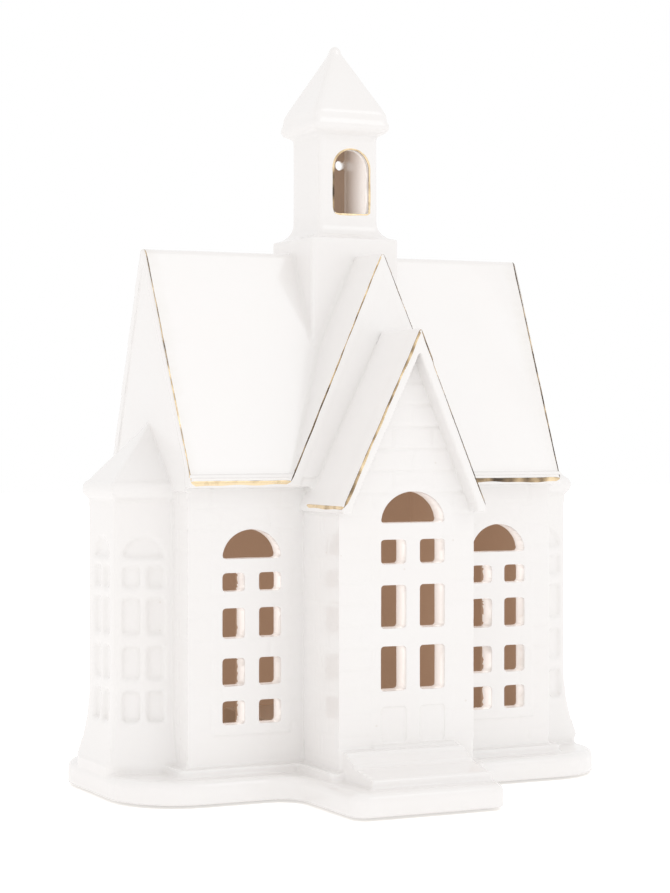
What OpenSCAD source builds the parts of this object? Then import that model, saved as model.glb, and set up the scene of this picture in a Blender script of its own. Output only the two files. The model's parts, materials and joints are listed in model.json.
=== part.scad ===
// Glazed ceramic village church with gold lines and a battery light in its base.
// Millimetres, +Z up, the front of the house faces -Y.
// Heights are measured from the underside of the plinth, and depths from the ridge.

/* [Plinth] */
// Half width of the plinth, left to right
plinth_half_w = 82; // [78:0.5:92]
// Half depth of the plinth behind and in front of the ridge
plinth_half_d = 38; // [35:0.5:46]
// Corner radius of the plinth seen from above
plinth_corner_r = 22; // [14:1:28]
// Height of the lower slab
slab_h = 7; // [6:0.5:10]
// Radius of the slab's top edge
slab_edge_r = 2.4; // [1:0.2:3]
// Height of the ledge on top of the slab
ledge_h = 2.4; // [1.5:0.1:4]
// How far the ledge stands out past the walls
ledge_reach = 3.2; // [2:0.2:4]
// How far the porch apron reaches in front of the ridge
apron_front = 79.8; // [76:0.2:88]
// Left end of the porch apron, left of the ridge centre
apron_left = 32; // [30:0.5:36]
// Right end of the porch apron along its front
apron_right = 17.4; // [16:0.2:22]
// Right end of the porch apron where it meets the plinth
apron_right_back = 29; // [27:0.2:32]
// Corner radius of the porch apron
apron_corner_r = 5; // [2:0.5:8]
// Fillet where the apron meets the plinth
apron_fillet_r = 8; // [3:0.5:10]
// Width of the foot rim under the slab
foot_rim_w = 6; // [4:0.5:8]
// Depth of the hollow inside the foot rim
foot_recess_d = 2; // [1.5:0.1:3]

/* [Feet] */
// Radius of a rubber foot
foot_r = 5; // [4:0.5:7]
// How far the feet stand out below the foot rim
foot_proud = 0.8; // [0.4:0.1:1.6]
// Gap between a foot and the inside of the foot rim
foot_inset = 3; // [1:0.5:8]

/* [Nave walls] */
// Half length of the nave walls
nave_half_l = 61.9; // [60:0.1:66]
// Half depth of the nave walls
nave_half_d = 28.5; // [28:0.1:31]
// Thickness of the nave walls
wall_t = 6; // [4:0.5:7]

/* [Nave roof] */
// Height of the roof's top surface at the eaves
eave_z = 93.8; // [90:0.2:100]
// Height where the two slopes would meet in a sharp ridge
ridge_z = 166.7; // [160:0.1:175]
// Radius of the rounded ridge
ridge_r = 2; // [1:0.2:3]
// How far the eaves stand out past the walls
eave_reach = 4.85; // [3:0.05:6]
// How far the roof stands out past the gable wall at the eaves
verge_reach_low = 1.2; // [0.6:0.1:3]
// How far the roof stands out past the gable wall at the ridge
verge_reach_high = 3.6; // [3:0.1:6]
// Thickness of the roof slopes
roof_t = 5.5; // [4:0.1:6]
// Thickness of the roof where it covers the gable walls
verge_t = 3; // [2:0.1:4]
// Height of the upright face along the eaves
eave_edge_h = 2; // [1:0.1:3]

/* [Cross gable] */
// Half width of the cross gable's roof at the eaves
cross_half_w = 30.7; // [28:0.1:34]
// Height of the cross gable's sharp ridge
cross_apex_z = 163.6; // [155:0.1:165]
// How far the cross gable's wall sits back from its roof's edge
cross_recess = 0.6; // [0.3:0.1:4]

/* [Porch] */
// Sideways place of the porch's middle
porch_x = -1.9; // [-4:0.1:4]
// Half width of the porch walls
porch_half_w = 22.5; // [20:0.1:24]
// How far the porch front stands in front of the ridge
porch_front = 52.8; // [46:0.2:58]
// Thickness of the porch front
porch_front_t = 7; // [4:0.5:8]
// Height of the porch roof's top surface at the eaves
porch_eave_z = 86.7; // [80:0.1:90]
// Height of the porch's sharp ridge
porch_apex_z = 138.8; // [128:0.1:145]
// Sideways shift of the porch ridge from the porch's middle
porch_apex_shift = 1.6; // [-3:0.1:3]
// How far the porch eaves stand out past the side walls
porch_eave_reach = 1.3; // [0.6:0.1:2.5]
// How far the porch roof stands out past its front
porch_verge_reach = 5.55; // [3:0.05:7]
// Thickness of the porch roof
porch_roof_t = 5; // [3.5:0.1:6]

/* [Windows] */
// Half width of a nave window
window_half_w = 9.5; // [7:0.1:11]
// Distance of the nave windows from the middle of the nave
window_x = 42.2; // [38:0.1:44]
// Shift of both nave windows to the right
window_shift = 0.9; // [-2:0.1:2]
// Height of the nave window sills
window_sill_z = 21.2; // [18:0.2:26]
// Height where the window arches spring
window_spring_z = 70.8; // [60:0.2:74]
// Rise of the window arches
window_rise = 8.6; // [6:0.2:10]
// Width of the upright bar in a window
mullion_w = 4.6; // [3:0.1:6]
// Width of the raised trim around a window
trim_w = 3; // [1.5:0.1:4]
// How far the trim stands out from the wall
trim_proud = 0.8; // [0.4:0.1:1.5]
// Height of the sill under the trim
sill_h = 2.6; // [1.5:0.1:4]
// How far the sill stands out from the wall
sill_proud = 1.5; // [0.8:0.1:2.5]

/* [Door] */
// Half width of the glazed door opening
door_half_w = 10.6; // [8:0.1:12]
// Sideways place of the door's middle
door_x = 0; // [-3:0.1:3]
// Height of the lowest row of door panes
door_glass_z = 32.2; // [28:0.2:38]
// Height where the door arch springs
door_spring_z = 81.6; // [72:0.2:84]
// Rise of the door arch
door_rise = 9.2; // [7:0.2:11]
// Height of the door panels' foot above the top step
door_panel_rise = 1.6; // [1:0.1:3]
// Height of the two lower door panels
door_panel_h = 10.4; // [6:0.2:12]
// Depth of the two lower door panels
door_panel_d = 1.2; // [0.6:0.1:2]

/* [Steps] */
// Left end of the steps
steps_left = 24; // [20:0.5:27]
// Right end of the steps
steps_right = 15; // [12:0.5:16]
// Number of steps
step_count = 3; // [2:1:4]
// Rise of one step
step_rise = 2.8; // [2.2:0.1:4]
// Tread of the lowest step
first_tread = 11.2; // [6:0.1:13]
// Tread of each other step
step_tread = 4.8; // [4:0.1:6]
// Radius of the step edges
step_edge_r = 1; // [0.4:0.1:1.5]

/* [Bays] */
// How far a bay stands out from the gable wall
bay_depth = 16.4; // [12:0.1:17]
// Half width of a bay where it meets the gable wall
bay_root_half_w = 16.4; // [14:0.1:20]
// Half width of a bay's end face
bay_face_half_w = 11.5; // [9:0.1:13]
// Thickness of the bay walls
bay_wall_t = 4.5; // [3:0.1:6]
// How far the foot of a bay sweeps out over the ledge
bay_flare_reach = 2.9; // [0:0.1:4]
// Height of that sweep
bay_flare_h = 22; // [10:0.5:30]
// Height of the underside of a bay's cornice
bay_cornice_z = 88.2; // [82:0.2:92]
// Height of a bay's cornice
bay_cornice_h = 5.4; // [4:0.1:7]
// How far a bay's cornice stands out
bay_cornice_reach = 1.5; // [0.8:0.1:2.5]
// Height of the point where a bay's roof meets the gable wall
bay_apex_z = 114.7; // [106:0.1:120]
// How hollow the sweep of a bay's roof is
bay_sweep = 0.4; // [0:0.05:0.8]
// Half width of the blind windows on a bay
blind_half_w = 6.2; // [4:0.1:7]
// Depth of the blind window panes
blind_d = 1.1; // [0.5:0.1:2]

/* [Tower] */
// Half width of the collar that straddles the ridge
collar_half_w = 15; // [13:0.1:18]
// Height of the collar's top edge above the sharp ridge
collar_rise = 1.7; // [0:0.1:6]
// Height of the hollow flare from the collar up to the shaft
flare_h = 5.6; // [4:0.1:8]
// Half width of the belfry shaft
belfry_half_w = 10.15; // [9:0.05:12]
// Thickness of the belfry walls
belfry_wall_t = 2.8; // [2:0.1:4]
// Height of the belfry shaft, from the flare to the cornice
belfry_h = 26.9; // [24:0.1:32]
// Half width of the belfry opening
arch_half_w = 5.9; // [4:0.1:6.5]
// Sideways place of the belfry opening
arch_x = 1; // [-1:0.1:1.5]
// Height of the belfry opening's sill above the foot of the shaft
arch_sill_h = 2.6; // [1.5:0.1:6]
// Height of the belfry opening
arch_h = 19.6; // [14:0.1:21]
// Radius of the vent hole in the back of the belfry
vent_r = 1.5; // [1:0.1:2]
// Sideways place of the vent hole
vent_x = 5.6; // [0:0.1:6]
// Height of the vent hole above the foot of the shaft
vent_h = 19.4; // [12:0.1:22]

/* [Spire] */
// Height of the rounded cornice
cornice_h = 5.4; // [4:0.1:7]
// How far the rounded cornice stands out from the shaft
cornice_reach = 3.3; // [2:0.1:4.5]
// Half width of the pyramid's foot
pyramid_half_w = 12.7; // [11:0.1:14]
// Height of the step between the cornice and the pyramid
pyramid_foot_h = 1.2; // [0.6:0.1:2]
// Height of the spire, cornice and all
spire_h = 29.1; // [24:0.1:36]
// Half width of the spire where its rounded tip begins
spire_tip_half_w = 1.9; // [1:0.1:3]
// Height of the rounded tip
spire_tip_h = 2.6; // [1.5:0.1:4]
// Rounding of the tower's corners
tower_corner_r = 1.2; // [0.5:0.1:2]

/* [Gold lines] */
// Width of a gold line
gold_w = 1.2; // [0.8:0.1:2]
// Thickness of a gold line
gold_t = 0.3; // [0.2:0.05:0.5]

/* [Light unit] */
// Length of the light housing
housing_l = 62; // [61:0.5:66]
// Room between the light housing and the nave walls
unit_room = 4; // [2:0.5:6]
// Wall of the mouldings
housing_t = 1.5; // [1.2:0.1:2]
// Side wall of the light housing, which holds the door's pins
side_t = 2.15; // [1.8:0.05:2.4]
// Length of the switch chamber beside the cells
chamber_l = 11.2; // [9:0.1:14]
// How far the flange stands out all round
flange_w = 5; // [4.5:0.1:6]
// Thickness of the flange
flange_t = 1.6; // [1.2:0.1:1.6]
// Corner radius of the housing
housing_corner_r = 3; // [2:0.5:4]
// Thickness of the rubber ring
seal_t = 1.8; // [1.2:0.1:2.2]
// Height of the rubber ring
seal_h = 5; // [3:0.5:7]
// Clearance between pieces that move past each other
run_gap = 0.3; // [0.25:0.05:0.4]
// Number of cells
cell_count = 3; // [2:1:3]
// Gap between neighbouring cells
cell_gap = 0.3; // [0.2:0.1:0.4]
// Thickness of the contact strip
contact_t = 0.4; // [0.3:0.05:0.5]
// Gap between a contact strip and its wall, taken up by the spring bow
contact_bow = 0.5; // [0.3:0.1:0.7]
// Thickness of the battery door
door_t = 1.3; // [1.1:0.1:1.5]
// Gap around the battery door
lid_gap = 0.45; // [0.35:0.05:0.6]
// Number of grip grooves in the battery door
groove_count = 5; // [3:1:6]
// Radius of the battery door's hinge pins
pin_r = 0.7; // [0.6:0.05:0.8]
// Radial clearance of the hinge pins
pin_gap = 0.08; // [0.05:0.01:0.1]
// Thickness of the circuit board
board_t = 1.2; // [1:0.1:1.6]
// Radius of the lamp's body
led_r = 2.5; // [1.5:0.1:3]
// Height of the lamp's straight body
led_h = 5.6; // [4:0.1:7]
// Height of the lamp cover above the battery box
cover_h = 4.6; // [4:0.1:6]
// Radius of a board screw's head
screw_head_r = 1.9; // [1.5:0.1:2.2]
// Radius of a board screw's shank
screw_r = 0.9; // [0.7:0.1:1.1]
// Length of a board screw in the housing
screw_l = 4.6; // [3.5:0.1:5.5]
// Travel of the switch knob
switch_travel = 2.5; // [2:0.1:3]
// Width of the switch knob along its travel
knob_w = 2.6; // [2:0.1:3]
// Width of the switch knob across its travel
knob_d = 2.4; // [2:0.1:3]

/* [Hidden] */

// Colours
glaze = [0.96, 0.95, 0.93];
lustre = [0.78, 0.6, 0.28];
moulding = [0.93, 0.92, 0.88];
dark_rubber = [0.25, 0.24, 0.23];

// One overrun for every cut
over = 1;
// Facets on curves
round_fn = 48;
corner_steps = 4;
arc_steps = 8;

// Places that follow from the sizes above
base_z = slab_h + ledge_h;
door_foot_z = slab_h + step_count * step_rise;
wall_top_z = eave_z - eave_edge_h;
porch_wall_top_z = porch_eave_z - eave_edge_h;
eave_y = nave_half_d + eave_reach;
cross_wall_y = -eave_y + cross_recess;
house_y = (apron_front - plinth_half_d) / 2;
porch_left_x = porch_x - porch_half_w;
porch_right_x = porch_x + porch_half_w;
porch_apex_x = porch_x + porch_apex_shift;
collar_top_z = ridge_z + collar_rise;
belfry_foot_z = collar_top_z + flare_h;
belfry_top_z = belfry_foot_z + belfry_h;
arch_sill_z = belfry_foot_z + arch_sill_h;
arch_top_z = arch_sill_z + arch_h;
vent_z = belfry_foot_z + vent_h;
spire_top_z = belfry_top_z + spire_h;

// Rows of panes, each [bottom, top], as shares of the height from sill to spring
nave_row_shares = [[0.01, 0.15], [0.24, 0.405], [0.525, 0.705], [0.805, 0.915]];
blind_row_shares = [[0.02, 0.2], [0.27, 0.47], [0.54, 0.76], [0.82, 0.95]];
door_row_shares = [[0, 0.264], [0.372, 0.629], [0.755, 0.9]];

// Lifts a shape onto the feet and sets the middle of the base over the origin
module placed() translate([0, house_y, foot_proud]) children();

// Draws a YZ outline along X, from the middle outwards
module along_x(half_l) rotate([90, 0, 90]) linear_extrude(2 * half_l, center = true) children();

// Draws an XZ outline along Y, from y0 back to y1
module along_y(y0, y1) translate([0, y1, 0]) rotate([90, 0, 0]) linear_extrude(y1 - y0) children();

// Keeps a shape and adds its mirror image, left to right
module both_sides() { children(); mirror([1, 0, 0]) children(); }

// Joins rings of points, each counter-clockwise from above and listed upwards.
// A ring with hollow bends is closed by caps that have none.
module loft(rings, caps = undef) {
  n = len(rings[0]);
  last = len(rings) - 1;
  foot = is_undef(caps) ? [[for (j = [0:n - 1]) j]] : caps;
  sides = [for (i = [0:last - 1], j = [0:n - 1])
    let (a = i * n + j, b = i * n + (j + 1) % n, c = b + n, d = a + n) each [[a, d, c], [a, c, b]]];
  top = [for (face = foot) [for (j = [len(face) - 1:-1:0]) last * n + face[j]]];
  polyhedron([for (ring = rings) each ring], concat(foot, sides, top));
}

// Rounded square at height z
function soft_square(half, r, z) = [for (q = [0:3], k = [0:corner_steps])
  let (a = 90 * (q + k / corner_steps), m = half - r)
  [r * cos(a) + m * sign(cos(90 * q + 45)), r * sin(a) + m * sign(sin(90 * q + 45)), z]];

// Roof outline with a rounded ridge: left eave, ridge, right eave
function slope_angle(run, rise) = atan2(rise, run);
function rounded_ridge(left, apex, right, r) =
  let (la = slope_angle(apex.x - left.x, apex.y - left.y),
       ra = slope_angle(right.x - apex.x, apex.y - right.y),
       bisect = (la - ra) / 2,
       reach = r / cos((la + ra) / 2),
       mid = [apex.x + reach * sin(bisect), apex.y - reach * cos(bisect)])
  [left, each [for (k = [0:arc_steps]) let (a = 90 + la - (la + ra) * k / arc_steps)
    mid + r * [cos(a), sin(a)]], right];

// The same two slopes lowered to leave a wall of thickness t
function slope_drop(run, rise, t) = t * norm([run, rise]) / run;
function lowered_ridge(left, apex, right, t) =
  let (sl = (apex.y - left.y) / (apex.x - left.x), sr = (apex.y - right.y) / (right.x - apex.x),
       dl = slope_drop(apex.x - left.x, apex.y - left.y, t),
       dr = slope_drop(right.x - apex.x, apex.y - right.y, t),
       x = (sr * right.x + sl * left.x + dl - dr + right.y - left.y) / (sl + sr))
  [[left.x + dl / sl, left.y], [x, left.y + sl * (x - left.x) - dl], [right.x - dr / sr, right.y]];

// Nave roof, in the YZ plane
nave_left = [-eave_y, eave_z];
nave_apex = [0, ridge_z];
nave_right = [eave_y, eave_z];
nave_slopes = rounded_ridge(nave_left, nave_apex, nave_right, ridge_r);

// Cross gable and porch roofs, in the XZ plane
cross_left = [-cross_half_w, eave_z];
cross_apex = [0, cross_apex_z];
cross_right = [cross_half_w, eave_z];
cross_slopes = rounded_ridge(cross_left, cross_apex, cross_right, ridge_r);
porch_left = [porch_left_x - porch_eave_reach, porch_eave_z];
porch_apex = [porch_apex_x, porch_apex_z];
porch_right = [porch_right_x + porch_eave_reach, porch_eave_z];
porch_slopes = rounded_ridge(porch_left, porch_apex, porch_right, ridge_r);

// Roof outline carried down to the height z by upright eaves
module roof_outline(slopes, z) {
  low = slopes[0];
  high = slopes[len(slopes) - 1];
  polygon(concat(slopes, [[high.x, z], [low.x, z]]));
}

// Space under two slopes, between the lines x0 and x1 and above z
module under_slopes(left, apex, right, t, x0, x1, z) {
  inner = lowered_ridge(left, apex, right, t);
  intersection() {
    polygon(concat(inner, [[inner[2].x, z], [inner[0].x, z]]));
    translate([x0, z]) square([x1 - x0, apex.y - z]);
  }
}

module nave_outer() along_x(nave_half_l + verge_reach_high) roof_outline(nave_slopes, wall_top_z);
module nave_side_view() polygon([
  [-nave_half_l - verge_reach_low, wall_top_z], [nave_half_l + verge_reach_low, wall_top_z],
  [nave_half_l + verge_reach_high, ridge_z], [-nave_half_l - verge_reach_high, ridge_z]]);
module nave_under(t, z) under_slopes(nave_left, nave_apex, nave_right, t,
  -nave_half_d + wall_t, nave_half_d - wall_t, z);
module nave_gable_under(z) under_slopes(nave_left, nave_apex, nave_right, verge_t,
  -nave_half_d, nave_half_d, z);
module cross_outer() along_y(-eave_y, 0) roof_outline(cross_slopes, wall_top_z);
module cross_under(t, y0, y1) along_y(y0, y1) under_slopes(cross_left, cross_apex, cross_right, t,
  -cross_half_w, cross_half_w, wall_top_z);
// What the porch stops at: the cross gable with its recessed wall
module cross_front() difference() {
  cross_outer();
  cross_under(verge_t, -eave_y - over, cross_wall_y);
}

// Plan shapes
module rounded_plate(x0, x1, y0, y1, r) {
  for (x = [x0 + r, x1 - r], y = [y0 + r, y1 - r]) translate([x, y]) circle(r, $fn = round_fn);
  translate([x0 + r, y0]) square([x1 - x0 - 2 * r, y1 - y0]);
  translate([x0, y0 + r]) square([x1 - x0, y1 - y0 - 2 * r]);
}

// The plinth's outline is a chain of arcs, each [middle, radius, first angle, last angle].
// A negative radius bends inwards. Going in by inset keeps the arcs' middles.
corner_x = plinth_half_w - plinth_corner_r;
corner_y = plinth_half_d - plinth_corner_r;
nose_y = -apron_front + apron_corner_r;
fillet_y = -plinth_half_d - apron_fillet_r;
slant = atan2(apron_right_back - apron_right, -plinth_half_d - nose_y);
slant_x = apron_right - apron_corner_r + (apron_corner_r + apron_fillet_r) / cos(slant)
  + (fillet_y - nose_y) * tan(slant);
plinth_arcs = [
  [[corner_x, corner_y], plinth_corner_r, 0, 90],
  [[-corner_x, corner_y], plinth_corner_r, 90, 180],
  [[-corner_x, -corner_y], plinth_corner_r, 180, 270],
  [[-apron_left - apron_fillet_r, fillet_y], -apron_fillet_r, 90, 0],
  [[-apron_left + apron_corner_r, nose_y], apron_corner_r, 180, 270],
  [[apron_right - apron_corner_r, nose_y], apron_corner_r, 270, 360 - slant],
  [[slant_x, fillet_y], -apron_fillet_r, 180 - slant, 90],
  [[corner_x, -corner_y], plinth_corner_r, 270, 360]];
function plinth_ring(inset, z) = [for (arc = plinth_arcs, k = [0:arc_steps])
  let (a = arc[2] + (arc[3] - arc[2]) * k / arc_steps, r = abs(arc[1]) - sign(arc[1]) * inset)
  [arc[0].x + r * cos(a), arc[0].y + r * sin(a), z]];
plinth_caps = let (m = arc_steps + 1, last = m * len(plinth_arcs) - 1) [
  concat([for (i = [0:3 * m]) i], [for (i = [last - m:last]) i]),
  for (k = [0:arc_steps - 1]) [3 * m + k, 3 * m + k + 1, last - m - 1 - k, last - m - k],
  [for (i = [4 * m - 1:6 * m]) i]];
module plinth_plan() polygon([for (p = plinth_ring(0, 0)) [p.x, p.y]]);

module bay_plan(inset) {
  reach = bay_depth - inset;
  polygon([[0, -bay_root_half_w + inset], [reach, -bay_face_half_w + inset],
    [reach, bay_face_half_w - inset], [0, bay_root_half_w - inset]]);
}
module house_plan() {
  square([2 * nave_half_l, 2 * nave_half_d], center = true);
  both_sides() translate([nave_half_l, 0]) bay_plan(0);
  translate([porch_left_x, -porch_front]) square([2 * porch_half_w, porch_front]);
}

module plinth() placed() color(glaze) difference() {
  union() {
    loft(concat([plinth_ring(0, 0)], [for (k = [0:corner_steps]) let (a = 90 * k / corner_steps)
      plinth_ring(slab_edge_r * (1 - cos(a)), slab_h - slab_edge_r * (1 - sin(a)))]), plinth_caps);
    translate([0, 0, slab_h - slab_edge_r]) linear_extrude(ledge_h + slab_edge_r)
      offset(r = ledge_reach, $fn = 24) house_plan();
  }
  translate([0, 0, -over]) linear_extrude(foot_recess_d + over) offset(delta = -foot_rim_w) plinth_plan();
  linear_extrude(base_z + over) unit_plan(seal_t + run_gap);
}

// Steps, as a side view drawn from the slab up to the door's foot
module front_steps() placed() color(glaze) {
  foot_y = -porch_front - first_tread - (step_count - 1) * step_tread;
  nosing = [for (i = [0:step_count - 1], k = [0:corner_steps])
    let (a = 180 - 90 * k / corner_steps, y = i == 0 ? foot_y : -porch_front - (step_count - i) * step_tread,
         z = slab_h + (i + 1) * step_rise)
    [y + step_edge_r + step_edge_r * cos(a), z - step_edge_r + step_edge_r * sin(a)]];
  top = nosing[len(nosing) - 1];
  back_y = -porch_front;
  ledge_y = -porch_front - ledge_reach;
  translate([(steps_right - steps_left) / 2, 0, 0]) along_x((steps_right + steps_left) / 2)
    polygon(concat([[foot_y, slab_h]], nosing,
      [[back_y, top.y], [back_y, base_z], [ledge_y, base_z], [ledge_y, slab_h]]));
}

// One window: an arched light above rows of paired panes
module arch_light(half_w, spring_z, rise) intersection() {
  translate([0, spring_z]) scale([1, rise / half_w]) circle(half_w, $fn = round_fn);
  translate([-half_w, spring_z]) square([2 * half_w, rise]);
}
module paired_panes(half_w, sill_z, spring_z, bar_w, row_shares) {
  tall = spring_z - sill_z;
  for (row = row_shares, side = [-1, 1]) {
    pane_w = half_w - bar_w / 2;
    translate([side > 0 ? bar_w / 2 : -half_w, sill_z + row[0] * tall])
      square([pane_w, (row[1] - row[0]) * tall]);
  }
}
module window_shape(half_w, sill_z, spring_z, rise, bar_w, row_shares) {
  arch_light(half_w, spring_z, rise);
  paired_panes(half_w, sill_z, spring_z, bar_w, row_shares);
}
module trim_shape(half_w, sill_z, spring_z, rise, reach) {
  arch_light(half_w + reach, spring_z, rise + reach);
  translate([-half_w - reach, sill_z]) square([2 * (half_w + reach), spring_z - sill_z]);
}

// Front wall of the nave between the porch and one gable wall
module front_wall(x0, x1, x_mid) difference() {
  union() {
    translate([x0, -nave_half_d, base_z]) cube([x1 - x0, wall_t, wall_top_z - base_z]);
    translate([x_mid, 0, 0]) {
      along_y(-nave_half_d - trim_proud, -nave_half_d)
        trim_shape(window_half_w, window_sill_z, window_spring_z, window_rise, trim_w);
      translate([-window_half_w - trim_w, -nave_half_d - sill_proud, window_sill_z - sill_h])
        cube([2 * (window_half_w + trim_w), sill_proud, sill_h]);
    }
  }
  translate([x_mid, 0, 0]) along_y(-nave_half_d - trim_proud - over, -nave_half_d + wall_t + over)
    window_shape(window_half_w, window_sill_z, window_spring_z, window_rise, mullion_w, nave_row_shares);
}
module front_wall_left() placed() color(glaze)
  front_wall(-nave_half_l + wall_t, porch_left_x + wall_t, window_shift - window_x);
module front_wall_right() placed() color(glaze)
  front_wall(porch_right_x - wall_t, nave_half_l - wall_t, window_shift + window_x);

module back_wall() placed() color(glaze) translate([-nave_half_l + wall_t, nave_half_d - wall_t, base_z])
  cube([2 * (nave_half_l - wall_t), wall_t, wall_top_z - base_z]);

// Gable walls fill the roof's ends up to the thin verge
module gable_wall(side) translate([side * (nave_half_l - wall_t / 2), 0, 0])
  along_x(wall_t / 2) nave_gable_under(base_z);
module left_gable_wall() placed() color(glaze) gable_wall(-1);
module right_gable_wall() placed() color(glaze) gable_wall(1);

module nave_roof() placed() color(glaze) difference() {
  intersection() {
    nave_outer();
    along_y(-eave_y, eave_y) nave_side_view();
  }
  along_x(nave_half_l - wall_t) nave_under(roof_t, wall_top_z);
  for (side = [-1, 1]) translate([side * (nave_half_l + verge_reach_high - wall_t / 2), 0, 0])
    along_x(wall_t / 2 + verge_reach_high) nave_gable_under(wall_top_z);
  cross_under(verge_t, -eave_y - over, cross_wall_y + wall_t);
  cross_under(roof_t, cross_wall_y, 0);
}

// The cross gable's slopes stop where they meet the nave roof, and its wall closes the front
module cross_gable() placed() color(glaze) {
  difference() {
    cross_outer();
    nave_outer();
    cross_under(verge_t, -eave_y - over, 0);
  }
  cross_under(verge_t, cross_wall_y, cross_wall_y + wall_t);
}

// Porch gable with the glazed door above two sunk panels
module porch_front() placed() color(glaze) difference() {
  union() {
    along_y(-porch_front, -porch_front + porch_front_t) {
      translate([porch_left_x, base_z]) square([2 * porch_half_w, porch_wall_top_z - base_z]);
      under_slopes(porch_left, porch_apex, porch_right, verge_t,
        porch_left_x, porch_right_x, porch_wall_top_z);
    }
    translate([door_x, 0, 0]) along_y(-porch_front - trim_proud, -porch_front)
      trim_shape(door_half_w, door_foot_z, door_spring_z, door_rise, trim_w);
  }
  translate([door_x, 0, 0]) {
    along_y(-porch_front - trim_proud - over, -porch_front + porch_front_t + over)
      window_shape(door_half_w, door_glass_z, door_spring_z, door_rise, mullion_w, door_row_shares);
    for (x = [-door_half_w, mullion_w / 2])
      translate([x, -porch_front - trim_proud - over, door_foot_z + door_panel_rise])
        cube([door_half_w - mullion_w / 2, door_panel_d + trim_proud + over, door_panel_h]);
  }
}
module porch_side_walls() placed() color(glaze) difference() {
  for (x = [porch_left_x, porch_right_x - wall_t]) translate([x, -porch_front + porch_front_t, base_z])
    cube([wall_t, porch_front - porch_front_t - nave_half_d, porch_wall_top_z - base_z]);
  cross_front();
}

module porch_roof() placed() color(glaze) difference() {
  along_y(-porch_front - porch_verge_reach, -nave_half_d) roof_outline(porch_slopes, porch_wall_top_z);
  along_y(-porch_front - porch_verge_reach - over, -porch_front + porch_front_t)
    under_slopes(porch_left, porch_apex, porch_right, verge_t,
      porch_left_x, porch_right_x, porch_wall_top_z);
  along_y(-porch_front + porch_front_t, -nave_half_d + over)
    under_slopes(porch_left, porch_apex, porch_right, porch_roof_t,
      porch_left_x + wall_t, porch_right_x - wall_t, porch_wall_top_z);
  cross_front();
}

// A canted bay on the right-hand gable wall
function bay_ring(scale_share, reach, z) = [
  [0, -(bay_root_half_w + reach) * scale_share, z],
  [(bay_depth + reach) * scale_share, -(bay_face_half_w + reach) * scale_share, z],
  [(bay_depth + reach) * scale_share, (bay_face_half_w + reach) * scale_share, z],
  [0, (bay_root_half_w + reach) * scale_share, z]];
cant_angle = atan2(bay_root_half_w - bay_face_half_w, bay_depth);
cant_l = norm([bay_depth, bay_root_half_w - bay_face_half_w]);
module blind_window() along_y(-over, blind_d)
  window_shape(blind_half_w, window_sill_z, window_spring_z, blind_half_w, mullion_w / 2, blind_row_shares);
module on_bay_faces() {
  translate([bay_depth, 0, 0]) rotate([0, 0, 90]) children();
  for (side = [0, 1]) mirror([0, side, 0])
    translate([bay_depth / 2, -(bay_root_half_w + bay_face_half_w) / 2, 0])
      rotate([0, 0, cant_angle]) children();
}
module bay() translate([nave_half_l, 0, 0]) {
  difference() {
    loft(concat([for (k = [0:arc_steps]) let (h = k / arc_steps)
      bay_ring(1, bay_flare_reach * pow(1 - h, 2), base_z + h * bay_flare_h)],
      [bay_ring(1, 0, bay_cornice_z)]));
    translate([-over, 0, base_z]) linear_extrude(bay_cornice_z - base_z) bay_plan(bay_wall_t);
    on_bay_faces() blind_window();
  }
  loft([for (k = [0:arc_steps]) let (a = -90 + 180 * k / arc_steps)
    bay_ring(1, bay_cornice_reach * cos(a), bay_cornice_z + bay_cornice_h * (1 + sin(a)) / 2)]);
}
module left_bay() placed() color(glaze) mirror([1, 0, 0]) bay();
module right_bay() placed() color(glaze) bay();

module bay_roof() translate([nave_half_l, 0, 0]) {
  foot_z = bay_cornice_z + bay_cornice_h;
  tip_share = 0.96;
  loft([for (k = [0:arc_steps]) let (h = tip_share * k / arc_steps)
    bay_ring(pow(1 - h, 1 + bay_sweep * h), 0, foot_z + h * (bay_apex_z - foot_z))]);
}
module left_bay_roof() placed() color(glaze) mirror([1, 0, 0]) bay_roof();
module right_bay_roof() placed() color(glaze) bay_roof();

// Collar astride the ridge, with a hollow flare up to the shaft
module tower_collar() placed() color(glaze) difference() {
  loft(concat(
    [soft_square(collar_half_w, tower_corner_r, wall_top_z)],
    [for (k = [0:arc_steps]) let (a = 90 * k / arc_steps)
      soft_square(belfry_half_w + (collar_half_w - belfry_half_w) * (1 - sin(a)), tower_corner_r,
        collar_top_z + (belfry_foot_z - collar_top_z) * (1 - cos(a)))]));
  nave_outer();
  cross_outer();
}

module arch_opening(reach) {
  spring_z = arch_top_z - arch_half_w;
  translate([arch_x, 0]) {
    translate([0, spring_z]) circle(arch_half_w + reach, $fn = round_fn);
    translate([-arch_half_w - reach, arch_sill_z - reach])
      square([2 * (arch_half_w + reach), spring_z - arch_sill_z + reach]);
  }
}
module belfry() placed() color(glaze) difference() {
  loft([soft_square(belfry_half_w, tower_corner_r, belfry_foot_z),
    soft_square(belfry_half_w, tower_corner_r, belfry_top_z)]);
  inner = belfry_half_w - belfry_wall_t;
  translate([-inner, -inner, belfry_foot_z - over])
    cube([2 * inner, 2 * inner, belfry_top_z - belfry_foot_z + 2 * over]);
  along_y(-belfry_half_w - over, 0) arch_opening(0);
  translate([vent_x, belfry_half_w + over, vent_z]) rotate([90, 0, 0])
    cylinder(r = vent_r, h = belfry_wall_t + 2 * over, $fn = round_fn);
}

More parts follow.
